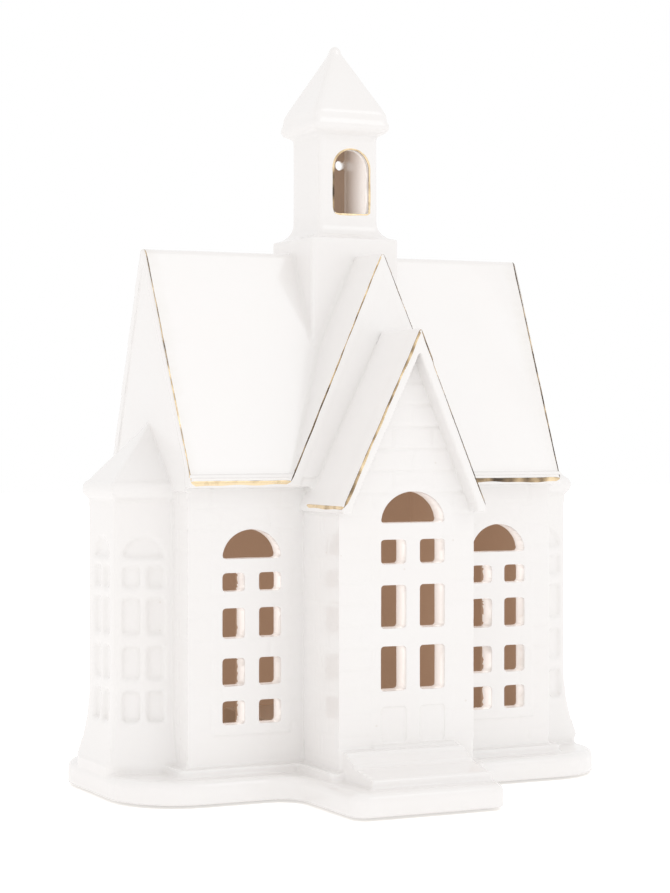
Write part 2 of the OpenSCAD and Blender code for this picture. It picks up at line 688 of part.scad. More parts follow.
// Rounded cornice, then a pyramid that ends in a rounded tip
module spire() placed() color(glaze) {
  cornice_top_z = belfry_top_z + cornice_h;
  cornice_turn = 132;
  tip_turn = 80;
  loft(concat(
    [for (k = [0:arc_steps]) let (a = -90 + cornice_turn * k / arc_steps)
      soft_square(belfry_half_w + cornice_reach * cos(a), tower_corner_r,
        belfry_top_z + cornice_h * (1 + sin(a)) / 2)],
    [soft_square(pyramid_half_w, tower_corner_r, cornice_top_z + pyramid_foot_h)],
    [for (k = [0:corner_steps]) let (a = tip_turn * k / corner_steps)
      soft_square(spire_tip_half_w * cos(a), spire_tip_half_w * cos(a) / 2,
        spire_top_z - spire_tip_h * (1 - sin(a)))]));
}

// A skin over the two slopes of a roof, gold_t thick, from the eave faces to the ridge
module slope_skin(left, apex, right) {
  over_t = lowered_ridge(left, apex, right, -gold_t);
  difference() {
    polygon(concat(over_t, [right, left]));
    polygon([left, apex, right]);
  }
}

// Gold along one end of the nave roof's front slope, and along the front eaves
module nave_gold(side) difference() {
  union() {
    intersection() {
      along_x(nave_half_l + verge_reach_high) slope_skin(nave_left, nave_apex, nave_right);
      along_y(-eave_y - over, -ridge_r) difference() {
        nave_side_view();
        translate([-side * gold_w, 0]) nave_side_view();
      }
    }
    x0 = cross_half_w;
    x1 = nave_half_l + verge_reach_low;
    translate([side > 0 ? x0 : -x1, -eave_y - gold_t, eave_z - gold_w]) cube([x1 - x0, gold_t, gold_w]);
  }
}
module nave_left_gold() placed() color(lustre) nave_gold(-1);
module nave_right_gold() placed() color(lustre) nave_gold(1);
module cross_gable_gold() placed() color(lustre) difference() {
  along_y(-eave_y, -eave_y + gold_w) slope_skin(cross_left, cross_apex, cross_right);
  nave_outer();
}
module porch_gold() placed() color(lustre) {
  front_y = -porch_front - porch_verge_reach;
  along_y(front_y, front_y + gold_w) slope_skin(porch_left, porch_apex, porch_right);
  difference() {
    translate([porch_left.x - gold_t, front_y, porch_eave_z - gold_w])
      cube([gold_t, porch_front + porch_verge_reach - nave_half_d, gold_w]);
    cross_front();
  }
}
module belfry_gold() placed() color(lustre)
  along_y(-belfry_half_w - gold_t, -belfry_half_w) difference() {
    arch_opening(gold_w);
    arch_opening(0);
  }

// Light unit, drawn around the middle of the nave. The housing fits between the nave walls,
// and the cells take the room inside it.
housing_d = 2 * (nave_half_d - wall_t - unit_room);
cell_l = housing_l - chamber_l - 3 * housing_t - 2 * (contact_t + contact_bow);
cell_d = (housing_d - 2 * side_t - (cell_count + 1) * cell_gap) / cell_count;
box_z = foot_recess_d - run_gap;
flange_z = box_z - flange_t;
cell_z = flange_z + door_t + pin_r + cell_d / 2 + housing_t;
deck_z = cell_z + cell_d / 2 + contact_bow;
box_top_z = deck_z + housing_t;
cover_top_z = box_top_z + cover_h;
bay_l = cell_l + 2 * (contact_t + contact_bow);
bay_x0 = -housing_l / 2 + housing_t;
bay_x1 = bay_x0 + bay_l;
bay_d = cell_count * cell_d + (cell_count + 1) * cell_gap;
switch_x = (bay_x1 + housing_t + housing_l / 2) / 2;
lid_x0 = bay_x0 + lid_gap;
lid_x1 = bay_x1 - lid_gap;
pin_x = lid_x0 + door_t;
pin_z = flange_z + door_t - pin_r / 2;
pin_seat = housing_t - run_gap;
floor_z = flange_z + flange_t;
chamber_d = bay_d / 2;
screw_places = [for (side = [-1, 1])
  [switch_x, side * (bay_d / 2 - screw_head_r - run_gap)]];

module unit_plan(reach) rounded_plate(-housing_l / 2 - reach, housing_l / 2 + reach,
  -housing_d / 2 - reach, housing_d / 2 + reach, housing_corner_r + reach);

module light_housing() placed() color(moulding) difference() {
  union() {
    translate([0, 0, box_z]) linear_extrude(box_top_z - box_z) unit_plan(0);
    translate([0, 0, flange_z]) linear_extrude(flange_t) unit_plan(flange_w);
  }
  translate([bay_x0, -bay_d / 2, flange_z - over]) cube([bay_l, bay_d, deck_z - flange_z + over]);
  chamber_x0 = bay_x1 + housing_t;
  chamber_x1 = housing_l / 2 - housing_t;
  translate([chamber_x0, -chamber_d / 2, floor_z])
    cube([chamber_x1 - chamber_x0, chamber_d, box_top_z - floor_z + over]);
  translate([switch_x - knob_d / 2 - run_gap, -knob_w / 2 - run_gap, flange_z - over])
    cube([knob_d + 2 * run_gap, channel_w, flange_t + 2 * over]);
  translate([pin_x, 0, pin_z]) rotate([90, 0, 0])
    cylinder(r = pin_r + pin_gap, h = bay_d + 2 * housing_t, center = true, $fn = round_fn);
  for (x = contact_places) translate([x - contact_t / 2 - pin_gap, -tab_w / 2, deck_z - over])
    cube([contact_t + 2 * pin_gap, tab_w, housing_t + 2 * over]);
  for (place = screw_places) translate([place.x, place.y, box_top_z - screw_l])
    cylinder(r = screw_r, h = screw_l + over, $fn = round_fn);
}

// Contact strips at both ends of the cells, with tabs up to the board
tab_w = cell_d / 2;
contact_places = [bay_x0 + contact_t / 2, bay_x1 - contact_t / 2];
module battery_contacts() placed() color("silver") for (end = [0, 1]) {
  wall_x = contact_places[end];
  inward = 1 - 2 * end;
  translate([wall_x - contact_t / 2, -tab_w / 2 + pin_gap, cell_z])
    cube([contact_t, tab_w - 2 * pin_gap, box_top_z - cell_z]);
  translate([wall_x - contact_t / 2, -bay_d / 2 + pin_gap, cell_z - tab_w / 2])
    cube([contact_t, bay_d - 2 * pin_gap, tab_w]);
  for (i = [0:cell_count - 1]) {
    y = (i - (cell_count - 1) / 2) * (cell_d + cell_gap);
    translate([wall_x + inward * contact_t / 2, y, cell_z]) rotate([0, inward * 90, 0])
      cylinder(r1 = tab_w / 2, r2 = tab_w / 4, h = contact_bow, $fn = round_fn);
  }
}

// Cells lie head to tail; the cap end is a little narrower
module battery_cells() placed() color("gold") for (i = [0:cell_count - 1]) {
  y = (i - (cell_count - 1) / 2) * (cell_d + cell_gap);
  cap_l = contact_bow * 2;
  flip = i % 2 == 0 ? 0 : 180;
  translate([(bay_x0 + bay_x1) / 2, y, cell_z]) rotate([0, 0, flip]) translate([-cell_l / 2, 0, 0])
    rotate([0, 90, 0]) {
      cylinder(d = cell_d, h = cell_l - cap_l, $fn = round_fn);
      translate([0, 0, cell_l - cap_l]) cylinder(d = cell_d / 2, h = cap_l, $fn = round_fn);
    }
}

module battery_door() placed() color(moulding) {
  half = bay_d / 2 - lid_gap;
  difference() {
    union() {
      translate([lid_x0, -half, flange_z]) cube([lid_x1 - lid_x0, 2 * half, door_t]);
      translate([pin_x, 0, pin_z]) rotate([90, 0, 0])
        cylinder(r = pin_r, h = bay_d + 2 * pin_seat, center = true, $fn = round_fn);
    }
    for (k = [0:groove_count - 1]) translate([lid_x1 - (2 * k + 3) * door_t, -half / 2, flange_z - over])
      cube([door_t, half, over + door_t / 3]);
  }
}

module circuit_board() placed() color("seagreen") difference() {
  translate([0, 0, box_top_z]) linear_extrude(board_t) offset(delta = -housing_t - run_gap) unit_plan(0);
  for (place = screw_places) translate([place.x, place.y, box_top_z - over])
    cylinder(r = screw_r + run_gap, h = board_t + 2 * over, $fn = round_fn);
}

module led() placed() color("lightyellow") translate([0, 0, box_top_z + board_t]) {
  rim_h = board_t;
  rotate_extrude($fn = round_fn) {
    square([led_r + contact_t, rim_h]);
    square([led_r, led_h]);
    translate([0, led_h]) intersection() {
      circle(led_r, $fn = round_fn);
      square(led_r);
    }
  }
}

// Cap over the board, with the lamp's hole
module lamp_cover() placed() color(moulding) difference() {
  translate([0, 0, box_top_z]) linear_extrude(cover_h) unit_plan(0);
  translate([0, 0, box_top_z - over]) linear_extrude(cover_h - housing_t + over) unit_plan(-housing_t);
  translate([0, 0, box_top_z]) cylinder(r = led_r + contact_t + run_gap, h = cover_h + over, $fn = round_fn);
}
module board_screws() placed() color("silver") for (place = screw_places)
  translate([place.x, place.y, box_top_z]) {
    translate([0, 0, -screw_l]) cylinder(r = screw_r, h = screw_l + board_t, $fn = round_fn);
    translate([0, 0, board_t]) cylinder(r = screw_head_r, h = board_t, $fn = round_fn);
  }

// Slide switch: a can on the flange with a channel for the knob, and two wires to the board
channel_w = knob_w + switch_travel + 2 * run_gap;
switch_can = [knob_d + 2 * run_gap + 2 * contact_t, channel_w + 2 * contact_t, knob_d + 2 * contact_t];
can_y0 = -knob_w / 2 - run_gap - contact_t;
module switch_body() placed() color("silver") translate([switch_x, can_y0, floor_z]) difference() {
  translate([-switch_can.x / 2, 0, 0]) cube(switch_can);
  translate([-knob_d / 2 - run_gap, contact_t, -over])
    cube([knob_d + 2 * run_gap, channel_w, knob_d / 2 + over]);
}
module switch_wires() placed() color("firebrick") for (share = [0.25, 0.75])
  translate([switch_x, can_y0 + share * switch_can.y, floor_z + switch_can.z])
    cylinder(r = contact_t, h = box_top_z - floor_z - switch_can.z, $fn = round_fn);
module switch_slider() placed() color(dark_rubber)
  translate([switch_x - knob_d / 2, -knob_w / 2, flange_z - foot_proud / 2])
    cube([knob_d, knob_w, flange_t + knob_d / 2 + foot_proud / 2 - run_gap]);

module seal_ring() placed() color(dark_rubber) translate([0, 0, box_z]) linear_extrude(seal_h) difference() {
  unit_plan(seal_t);
  unit_plan(0);
}

module rubber_feet() color(dark_rubber) {
  foot_x = plinth_half_w - plinth_corner_r;
  foot_y = plinth_half_d - foot_rim_w - foot_inset - foot_r;
  translate([0, house_y, 0]) for (x = [-foot_x, foot_x], y = [-foot_y, foot_y])
    translate([x, y, 0]) cylinder(r = foot_r, h = foot_proud + foot_recess_d, $fn = round_fn);
}

plinth();
front_steps();
front_wall_left();
front_wall_right();
back_wall();
left_gable_wall();
right_gable_wall();
nave_roof();
cross_gable();
porch_front();
porch_side_walls();
porch_roof();
left_bay();
right_bay();
left_bay_roof();
right_bay_roof();
tower_collar();
belfry();
spire();
nave_left_gold();
nave_right_gold();
cross_gable_gold();
porch_gold();
belfry_gold();
light_housing();
lamp_cover();
board_screws();
circuit_board();
led();
battery_cells();
battery_contacts();
battery_door();
switch_body();
switch_wires();
switch_slider();
seal_ring();
rubber_feet();
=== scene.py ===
import json
import math

import bmesh
import bpy
import numpy as np
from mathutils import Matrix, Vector
from mathutils.bvhtree import BVHTree

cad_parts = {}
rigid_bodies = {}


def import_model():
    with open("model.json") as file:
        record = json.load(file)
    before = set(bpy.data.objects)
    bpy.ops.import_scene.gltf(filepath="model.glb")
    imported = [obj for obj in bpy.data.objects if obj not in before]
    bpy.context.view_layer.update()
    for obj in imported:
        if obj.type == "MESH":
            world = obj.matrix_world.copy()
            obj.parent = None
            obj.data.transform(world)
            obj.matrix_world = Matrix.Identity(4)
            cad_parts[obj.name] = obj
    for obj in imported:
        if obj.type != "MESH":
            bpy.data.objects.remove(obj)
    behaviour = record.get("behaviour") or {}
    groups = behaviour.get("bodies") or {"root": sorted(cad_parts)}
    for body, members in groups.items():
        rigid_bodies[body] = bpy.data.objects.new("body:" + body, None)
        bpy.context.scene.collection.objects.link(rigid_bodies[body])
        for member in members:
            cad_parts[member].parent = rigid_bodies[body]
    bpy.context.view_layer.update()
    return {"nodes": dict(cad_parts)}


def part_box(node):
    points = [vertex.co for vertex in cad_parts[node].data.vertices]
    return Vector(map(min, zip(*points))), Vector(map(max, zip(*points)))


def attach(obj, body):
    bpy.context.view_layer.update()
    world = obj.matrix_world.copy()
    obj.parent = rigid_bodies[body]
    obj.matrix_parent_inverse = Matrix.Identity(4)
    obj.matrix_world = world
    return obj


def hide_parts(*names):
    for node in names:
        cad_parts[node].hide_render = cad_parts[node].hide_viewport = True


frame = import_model()
nodes = frame["nodes"]
mm = 0.001


# The camera stands where the photograph was taken from: turned right of straight back, a little down
view = {
    "place": (-319.4 * mm, -631.9 * mm, 110.8 * mm),
    "turn": 26.08,
    "down": 0.5,
    "lens": 92.7,
    "sensor": 36,
}


def makeCamera():
    turn, tilt = math.radians(view["turn"]), math.radians(view["down"])
    ahead = Vector((math.sin(turn) * math.cos(tilt), math.cos(turn) * math.cos(tilt), -math.sin(tilt)))
    data = bpy.data.cameras.new("camera")
    data.lens, data.sensor_width = view["lens"], view["sensor"]
    camera = bpy.data.objects.new("camera", data)
    camera.location = view["place"]
    camera.rotation_euler = ahead.to_track_quat("-Z", "Y").to_euler()
    bpy.context.scene.collection.objects.link(camera)
    bpy.context.scene.camera = camera


makeCamera()
print("camera placed")


# Planes of the house, read from its construction
gableLow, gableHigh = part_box("left_gable_wall")
backLow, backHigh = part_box("back_wall")
porchLow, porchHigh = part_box("porch_side_walls")
roofLow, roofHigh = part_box("nave_roof")
crossLow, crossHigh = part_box("cross_gable")
porchRoofLow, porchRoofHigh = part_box("porch_roof")
belfryLow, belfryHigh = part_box("belfry")
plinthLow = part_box("plinth")[0]
stepsLow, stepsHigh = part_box("front_steps")
house = {
    "leftX": gableLow.x,
    "rightX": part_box("right_gable_wall")[1].x,
    "frontY": gableLow.y,
    "backY": gableHigh.y,
    "ridgeY": (gableLow.y + gableHigh.y) / 2,
    "baseZ": backLow.z,
    "eaveZ": roofLow.z,
    "wall": backHigh.y - backLow.y,
    "porchLeftX": porchLow.x,
    "porchRightX": porchHigh.x,
    "porchFrontY": stepsHigh.y,
    "porchInnerY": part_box("porch_front")[1].y,
}


# Shared mesh helpers
down = Vector((0, 0, -1))


def linked(name, mesh):
    piece = bpy.data.objects.new(name, mesh)
    bpy.context.scene.collection.objects.link(piece)
    return piece


def evaluated(piece):
    graph = bpy.context.evaluated_depsgraph_get()
    return bpy.data.meshes.new_from_object(piece.evaluated_get(graph))


def baked(piece, name):
    # the piece with its modifiers applied, as a new object
    mesh = evaluated(piece)
    bpy.data.objects.remove(piece)
    return linked(name, mesh)


def fromBmesh(working, name):
    mesh = bpy.data.meshes.new(name)
    working.to_mesh(mesh)
    working.free()
    return linked(name, mesh)


def triples(items, label):
    flat = np.empty(len(items) * 3, np.float32)
    items.foreach_get(label, flat)
    return flat.reshape(-1, 3).astype(float)


def pointsAndNormals(mesh):
    return triples(mesh.vertices, "co"), triples(mesh.vertex_normals, "vector")


def setPoints(mesh, places):
    mesh.vertices.foreach_set("co", places.astype(np.float32).ravel())
    mesh.update()


def paint(mesh, label, values):
    attribute = mesh.attributes.new(label, "FLOAT", "POINT")
    attribute.data.foreach_set("value", values.astype(np.float32))


def shadeSmooth(mesh, sharpAngle):
    mesh.shade_smooth()
    mesh.set_sharp_from_angle(angle=math.radians(sharpAngle))


def gaussian(distance, width):
    return np.exp(-(distance / width) ** 2)


# One glazed body: the cast pieces are joined, softened as a glaze softens them, and cut into named pieces
skin = {
    "voxel": 0.5 * mm,
    "quickVoxel": 0.9 * mm,
    "weld": 0.002 * mm,
    "smoothFactor": 0.5,
    "softRounds": 3,
    "keptShare": 0.30,
    "quickShare": 0.6,
    "sharpAngle": 38,
}
castings = ["plinth", "front_steps", "front_wall_left", "front_wall_right", "back_wall", "left_gable_wall",
            "right_gable_wall", "nave_roof", "cross_gable", "porch_front", "porch_side_walls", "porch_roof",
            "left_bay", "right_bay", "left_bay_roof", "right_bay_roof", "tower_collar", "belfry", "spire"]


def closedCopy(nodeName):
    working = bmesh.new()
    working.from_mesh(nodes[nodeName].data)
    bmesh.ops.remove_doubles(working, verts=working.verts, dist=skin["weld"])
    return fromBmesh(working, "casting")


def joinCastings():
    parts = [closedCopy(name) for name in castings]
    for part in parts[1:]:
        union = parts[0].modifiers.new("union", "BOOLEAN")
        union.operation, union.solver, union.object = "UNION", "MANIFOLD", part
    joined = baked(parts[0], "joined")
    for part in parts[1:]:
        bpy.data.objects.remove(part)
    return joined


def soften(joined):
    remesh = joined.modifiers.new("remesh", "REMESH")
    remesh.mode = "VOXEL"
    remesh.voxel_size = skin["voxel"]
    smooth = joined.modifiers.new("smooth", "SMOOTH")
    smooth.factor, smooth.iterations = skin["smoothFactor"], skin["softRounds"]
    return baked(joined, "soft")


# Forms that the moulds and the glaze give: crests that stay sharp, flat trim, deep window bars, filled verges
forms = {
    "crestReach": 6 * mm,
    "crestKept": 0.7,  # share of the reach in which the crest may also be lowered
    "crestFade": 6 * mm,
    "crestSkin": 0.6 * mm,
    "crestRound": {"cross": 0.7 * mm, "porch": 0.5 * mm},
    "crestLift": {"cross": 0.0, "porch": 0.7 * mm},
    "crestShift": {"cross": 0.0, "porch": 1.6 * mm},
    "collarGap": 0.5 * mm,
    "ridgeRound": 2.0 * mm,
    "eaveEdge": 2.0 * mm,
    "trimShare": 0.15,
    "trimReach": (1.6 * mm, 2.3 * mm),
    "trimClear": 3 * mm,
    "stepClear": 1 * mm,
    "barMiddle": (41.3 * mm, 43.1 * mm),
    "barHalf": 2.7 * mm,
    "barDeeper": 1.8 * mm,
    "barEnds": (8 * mm, 16 * mm),  # clear of the base and of the eave
    "barBehind": 0.7 * mm,
    "vergeFill": (1.2 * mm, 2.4 * mm),  # at the eave, and what it gains up to the ridge
    "vergeLeft": 0.5 * mm,
    "vergeInside": 0.4 * mm,
    "vergeEnds": 1 * mm,
    "crossFlush": 0.15 * mm,
    "crossReach": (0.1 * mm, 1 * mm),  # before and behind its plane
    "crossFoot": 3 * mm,
}


def ridgeApex(topZ, edgeZ, half, radius):
    # height where two slopes would meet in a sharp ridge, from the top of the rounded one
    apex = topZ
    for _ in range(20):
        angle = math.atan2(apex - edgeZ, half)
        apex = topZ + radius * (1 / math.cos(angle) - 1)
    return apex


def crestOf(kind, low, high, edgeZ):
    # a front gable's roof: where its sharp apex would be, and how far its rounded top lies below that
    half = (high.x - low.x) / 2
    middle = (high.x + low.x) / 2 + forms["crestShift"][kind]
    apex = ridgeApex(high.z, edgeZ, half, forms["ridgeRound"]) + forms["crestLift"][kind]
    slope = (apex - edgeZ) / half
    drop = forms["crestRound"][kind] * (math.hypot(1, slope) - 1)
    return {"middle": middle, "half": half, "apex": apex, "slope": slope, "drop": drop}


crests = {
    "cross": crestOf("cross", crossLow, crossHigh, house["eaveZ"] + forms["eaveEdge"]),
    "porch": crestOf("porch", porchRoofLow, porchRoofHigh, porchRoofLow.z + forms["eaveEdge"]),
}


def raiseCrest(soft, places, kind, frontY, backY):
    # the softened ridge is brought back to its sharper profile, with what lies just below it
    crest, reach = crests[kind], forms["crestReach"]
    middle, slope = crest["middle"], crest["slope"]
    tree = BVHTree.FromObject(soft, bpy.context.evaluated_depsgraph_get())
    steps = np.linspace(-reach, reach, 49)
    middleY, aboveAll = (frontY + backY) / 2, 0.4
    found = np.array([tree.ray_cast(Vector((middle + step, middleY, aboveAll)), down)[0].z for step in steps])
    wanted = crest["apex"] - slope * np.hypot(steps, crest["drop"] / slope)
    wanted = np.where(np.abs(steps) > reach * forms["crestKept"], np.minimum(wanted, found), wanted)
    x, y, z = places.T
    aside = x - middle
    surface = np.interp(aside, steps, found)
    rise = np.interp(aside, steps, np.maximum(wanted - found, 0), left=0, right=0)
    below = surface - z
    near = (y > frontY - 1 * mm) & (y < backY) & (below > -forms["crestSkin"])
    places[:, 2] += np.where(near, rise * np.clip(1 - below / forms["crestFade"], 0, 1), 0)


def flattened(distance):
    # relief close to a wall's plane is pressed nearly flat
    near, far = forms["trimReach"]
    kept = np.clip((np.abs(distance) - near) / (far - near), 0, 1)
    return distance * (forms["trimShare"] + (1 - forms["trimShare"]) * kept)


def shapeForms(soft):
    places, normals = pointsAndNormals(soft.data)
    raiseCrest(soft, places, "cross", crossLow.y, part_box("tower_collar")[0].y - forms["collarGap"])
    raiseCrest(soft, places, "porch", porchRoofLow.y, crossLow.y)
    x, y, z = places.T
    baseZ, eaveZ, frontY, ridgeY = house["baseZ"], house["eaveZ"], house["frontY"], house["ridgeY"]
    # the trim round the windows and the door
    onWall = (z > baseZ + forms["trimClear"]) & (normals[:, 1] < 0.5)
    outside = (x < house["porchLeftX"]) | (x > house["porchRightX"])
    for plane, where in ((frontY, outside & (z < eaveZ - forms["trimClear"])),
                         (house["porchFrontY"], ~outside & (z > stepsHigh.z + forms["stepClear"]))):
        away = y - plane
        on = onWall & where & (np.abs(away) < forms["trimReach"][1])
        places[:, 1] = np.where(on, plane + flattened(away), places[:, 1])
    # the upright bars of the nave windows
    inner = frontY + house["wall"]
    depth = np.clip((y - frontY) / house["wall"], 0, 1) ** 2
    foot, head = forms["barEnds"]
    for side in (-1, 1):
        middle = side * forms["barMiddle"][side > 0]
        bar = (np.abs(x - middle) < forms["barHalf"]) & (y > frontY) & (y < inner + forms["barBehind"]) \
            & (z > baseZ + foot) & (z < eaveZ - head)
        places[:, 1] = np.where(bar, places[:, 1] + forms["barDeeper"] * depth, places[:, 1])
    # the recess behind the verges of both end gables
    gable = (z > eaveZ - forms["vergeEnds"]) & (np.abs(y - ridgeY) < ridgeY - roofLow.y - forms["vergeEnds"])
    atEave, gain = forms["vergeFill"]
    fill = atEave + gain * np.clip((z - eaveZ) / (roofHigh.z - eaveZ), 0, 1) - forms["vergeLeft"]
    for side, end in ((-1, house["leftX"]), (1, house["rightX"])):
        out = side * (x - end)
        on = gable & (out > -forms["vergeInside"]) & (out < fill)
        places[:, 0] = np.where(on, end + side * fill, places[:, 0])
    # the wall of the cross gable
    before, behind = forms["crossReach"]
    crossWall = (y > crossLow.y - before) & (y < crossLow.y + behind) & (normals[:, 1] < -0.3) \
        & (z > eaveZ + forms["crossFoot"])
    flush = np.minimum(places[:, 1], crossLow.y + forms["crossFlush"])
    places[:, 1] = np.where(crossWall, flush, places[:, 1])
    setPoints(soft.data, places)


# Where the glaze lies thick and calms the relief: how much, and the margins of each place
calm = {
    "rounds": 24,
    "rightBay": 1.0,
    "leftBay": 0.7,
    "spire": 0.4,
    "cornice": 1.0,
    "verge": 0.5,
    "bayEnds": (5 * mm, 8 * mm),
    "bayOut": 1.5 * mm,
    "corniceEnds": (1 * mm, 9 * mm),
    "vergeOut": 0.4 * mm,
    "vergeFoot": 4 * mm,
    "vergeBack": 3 * mm,
}


def calmRelief(soft):
    x, y, z = triples(soft.data.vertices, "co").T
    foot, head = calm["bayEnds"]
    bay = (z > house["baseZ"] + foot) & (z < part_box("left_bay")[1].z - head)
    foot, head = calm["corniceEnds"]
    spire = z > belfryHigh.z + head
    cornice = (z > belfryHigh.z - foot) & (z < belfryHigh.z + head)
    verge = (x < house["leftX"] - calm["vergeOut"]) & (z > house["eaveZ"] + calm["vergeFoot"]) \
        & (y < house["ridgeY"] + calm["vergeBack"])
    group = soft.vertex_groups.new(name="calm")
    for where, share in ((bay & (x > house["rightX"] + calm["bayOut"]), calm["rightBay"]),
                         (bay & (x < house["leftX"] - calm["bayOut"]), calm["leftBay"]),
                         (spire, calm["spire"]), (cornice, calm["cornice"]), (verge, calm["verge"])):
        group.add(np.nonzero(where)[0].tolist(), share, "REPLACE")
    smooth = soft.modifiers.new("calm", "SMOOTH")
    smooth.factor, smooth.iterations, smooth.vertex_group = skin["smoothFactor"], calm["rounds"], "calm"
    return baked(soft, "calm")


# Shallow stone courses pressed into the walls, half filled by the glaze
courses = {
    "pitch": 6.48 * mm,
    "naveFirst": 9.02 * mm,
    "porchFirst": 7.06 * mm,
    "stone": 13.5 * mm,
    "quoin": 7.5 * mm,
    "stagger": 0.45,
    "quoinFade": 1.6,
    "quoinRise": 3,
    "jointShare": 0.7,
    "depth": 0.42 * mm,
    "width": 0.55 * mm,
    "reach": 0.42 * mm,
    "facing": 0.75,
    "footClear": 2 * mm,
    "fill": (0.75, 0.45),  # level and swing
    "fillRange": (0.15, 1.2),
    "fillSize": 17 * mm,
    "sway": 0.05 * mm,
    "swaySize": 34 * mm,
    # how strongly the plain stones and the corner stones of each wall show
    "front": (0.12, 0.32),
    "back": (0.35, 0.6),
    "gable": (0.04, 0.25),
    "porchFront": (0.10, 0.30),
    "porchGable": (0.8, 0.8),
    "porchSide": (0.03, 0.12),
}


def slowNoise(places, size, seed, waves=7):
    # smooth noise between -1 and 1, from a few crossed waves
    random = np.random.default_rng(seed)
    total = np.zeros(len(places))
    for _ in range(waves):
        direction = random.normal(size=3)
        direction *= random.uniform(0.6, 1.5) / np.linalg.norm(direction)
        total += np.sin(places @ direction * (2 * math.pi / size) + random.uniform(0, 2 * math.pi))
    return total / waves ** 0.5 / 1.4


def grooves(position, spacing):
    # evenly spaced grooves, 1 in the middle of each
    return gaussian(np.abs(position - np.round(position)) * spacing, courses["width"])


def courseDepth(along, height, first, ends, strengths):
    row = (height - first) / courses["pitch"]
    odd = np.floor(row) % 2
    bed = grooves(row, courses["pitch"])
    joint = grooves(along / courses["stone"] + 0.5 * odd, courses["stone"])
    nearEnd, quoinJoint = np.zeros(len(along)), np.zeros(len(along))
    for end in ends:
        away = np.abs(along - end)
        reach = courses["quoin"] * (1 + courses["stagger"] * odd)
        nearEnd = np.maximum(nearEnd, np.clip(courses["quoinFade"] - away / reach, 0, 1))
        quoinJoint = np.maximum(quoinJoint, gaussian(away - reach, courses["width"]))
    plain, quoin = strengths
    strength = plain + (quoin - plain) * np.clip(nearEnd * courses["quoinRise"], 0, 1)
    upright = np.maximum(courses["jointShare"] * plain * joint * (nearEnd < 0.2), quoin * quoinJoint)
    return np.maximum(bed * strength, upright)


def pressCourses(soft):
    places, normals = pointsAndNormals(soft.data)
    x, y, z = places.T
    left, right, front, back = house["leftX"], house["rightX"], house["frontY"], house["backY"]
    porchLeft, porchRight, porchFront = house["porchLeftX"], house["porchRightX"], house["porchFrontY"]
    sideEnds, porchEnds = [front, back], [porchFront, front]
    naveWall, porchWall = (house["baseZ"], house["eaveZ"]), (house["baseZ"], porchRoofLow.z)
    walls = [  # distance from the wall's plane, its direction, run, first course, corners, strengths, heights
        (np.abs(y - front), -normals[:, 1], x, "naveFirst", [left, porchLeft, porchRight, right],
         "front", naveWall),
        (np.abs(y - back), normals[:, 1], x, "naveFirst", [left, right], "back", naveWall),
        (np.abs(x - left), -normals[:, 0], y, "naveFirst", sideEnds, "gable", naveWall),
        (np.abs(x - right), normals[:, 0], y, "naveFirst", sideEnds, "gable", naveWall),
        (np.abs(y - porchFront), -normals[:, 1], x, "porchFirst", [porchLeft, porchRight], "porchFront",
         porchWall),
        (np.abs(y - porchFront), -normals[:, 1], x, "porchFirst", [], "porchGable",
         (porchRoofLow.z, porchRoofHigh.z)),
        (np.abs(x - porchLeft), -normals[:, 0], y, "porchFirst", porchEnds, "porchSide", porchWall),
        (np.abs(x - porchRight), normals[:, 0], y, "porchFirst", porchEnds, "porchSide", porchWall),
    ]
    depth = np.zeros(len(places))
    for distance, facing, along, first, ends, wall, (foot, top) in walls:
        on = (distance < courses["reach"]) & (facing > courses["facing"]) \
            & (z > foot + courses["footClear"]) & (z < top)
        cut = courseDepth(along, z, courses[first], ends, courses[wall])
        depth = np.where(on, np.maximum(depth, cut), depth)
    level, swing = courses["fill"]
    filled = np.clip(level + swing * slowNoise(places, courses["fillSize"], 3), *courses["fillRange"])
    sway = courses["sway"] * slowNoise(places, courses["swaySize"], 5) - courses["sway"]
    setPoints(soft.data, places - normals * (depth * filled * courses["depth"] - sway)[:, None])


def lighten(soft):
    fewer = soft.modifiers.new("fewer", "DECIMATE")
    fewer.ratio = skin["keptShare"]
    return baked(soft, "light")


joined = joinCastings()
soft = calmRelief(soften(joined))
shapeForms(soft)
pressCourses(soft)
glazed = lighten(soft)
print("glazed body:", len(glazed.data.polygons), "faces")
skinTree = BVHTree.FromObject(glazed, bpy.context.evaluated_depsgraph_get())


# Cutting the one body into the castings that a potter would name
cuts = {
    "fillet": 1.3 * mm,
    "beside": 0.5 * mm,
    "under": 0.3 * mm,
    "bayOut": 1.0 * mm,
    "far": 300 * mm,
}


def boxRegion(low, high):
    working = bmesh.new()
    bmesh.ops.create_cube(working, size=1)
    for vertex in working.verts:
        vertex.co = [low[i] if vertex.co[i] < 0 else high[i] for i in range(3)]
    return fromBmesh(working, "region")


def cutOut(body, region, name):
    # returns the piece inside the region and leaves the rest in the body
    piece = linked(name, body.data.copy())
    for target, operation in ((piece, "INTERSECT"), (body, "DIFFERENCE")):
        cut = target.modifiers.new("cut", "BOOLEAN")
        cut.operation, cut.solver, cut.object = operation, "MANIFOLD", region
    pieceMesh, restMesh = evaluated(piece), evaluated(body)
    bpy.data.objects.remove(piece)
    bpy.data.objects.remove(region)
    body.modifiers.clear()
    body.data = restMesh
    return linked(name, pieceMesh)


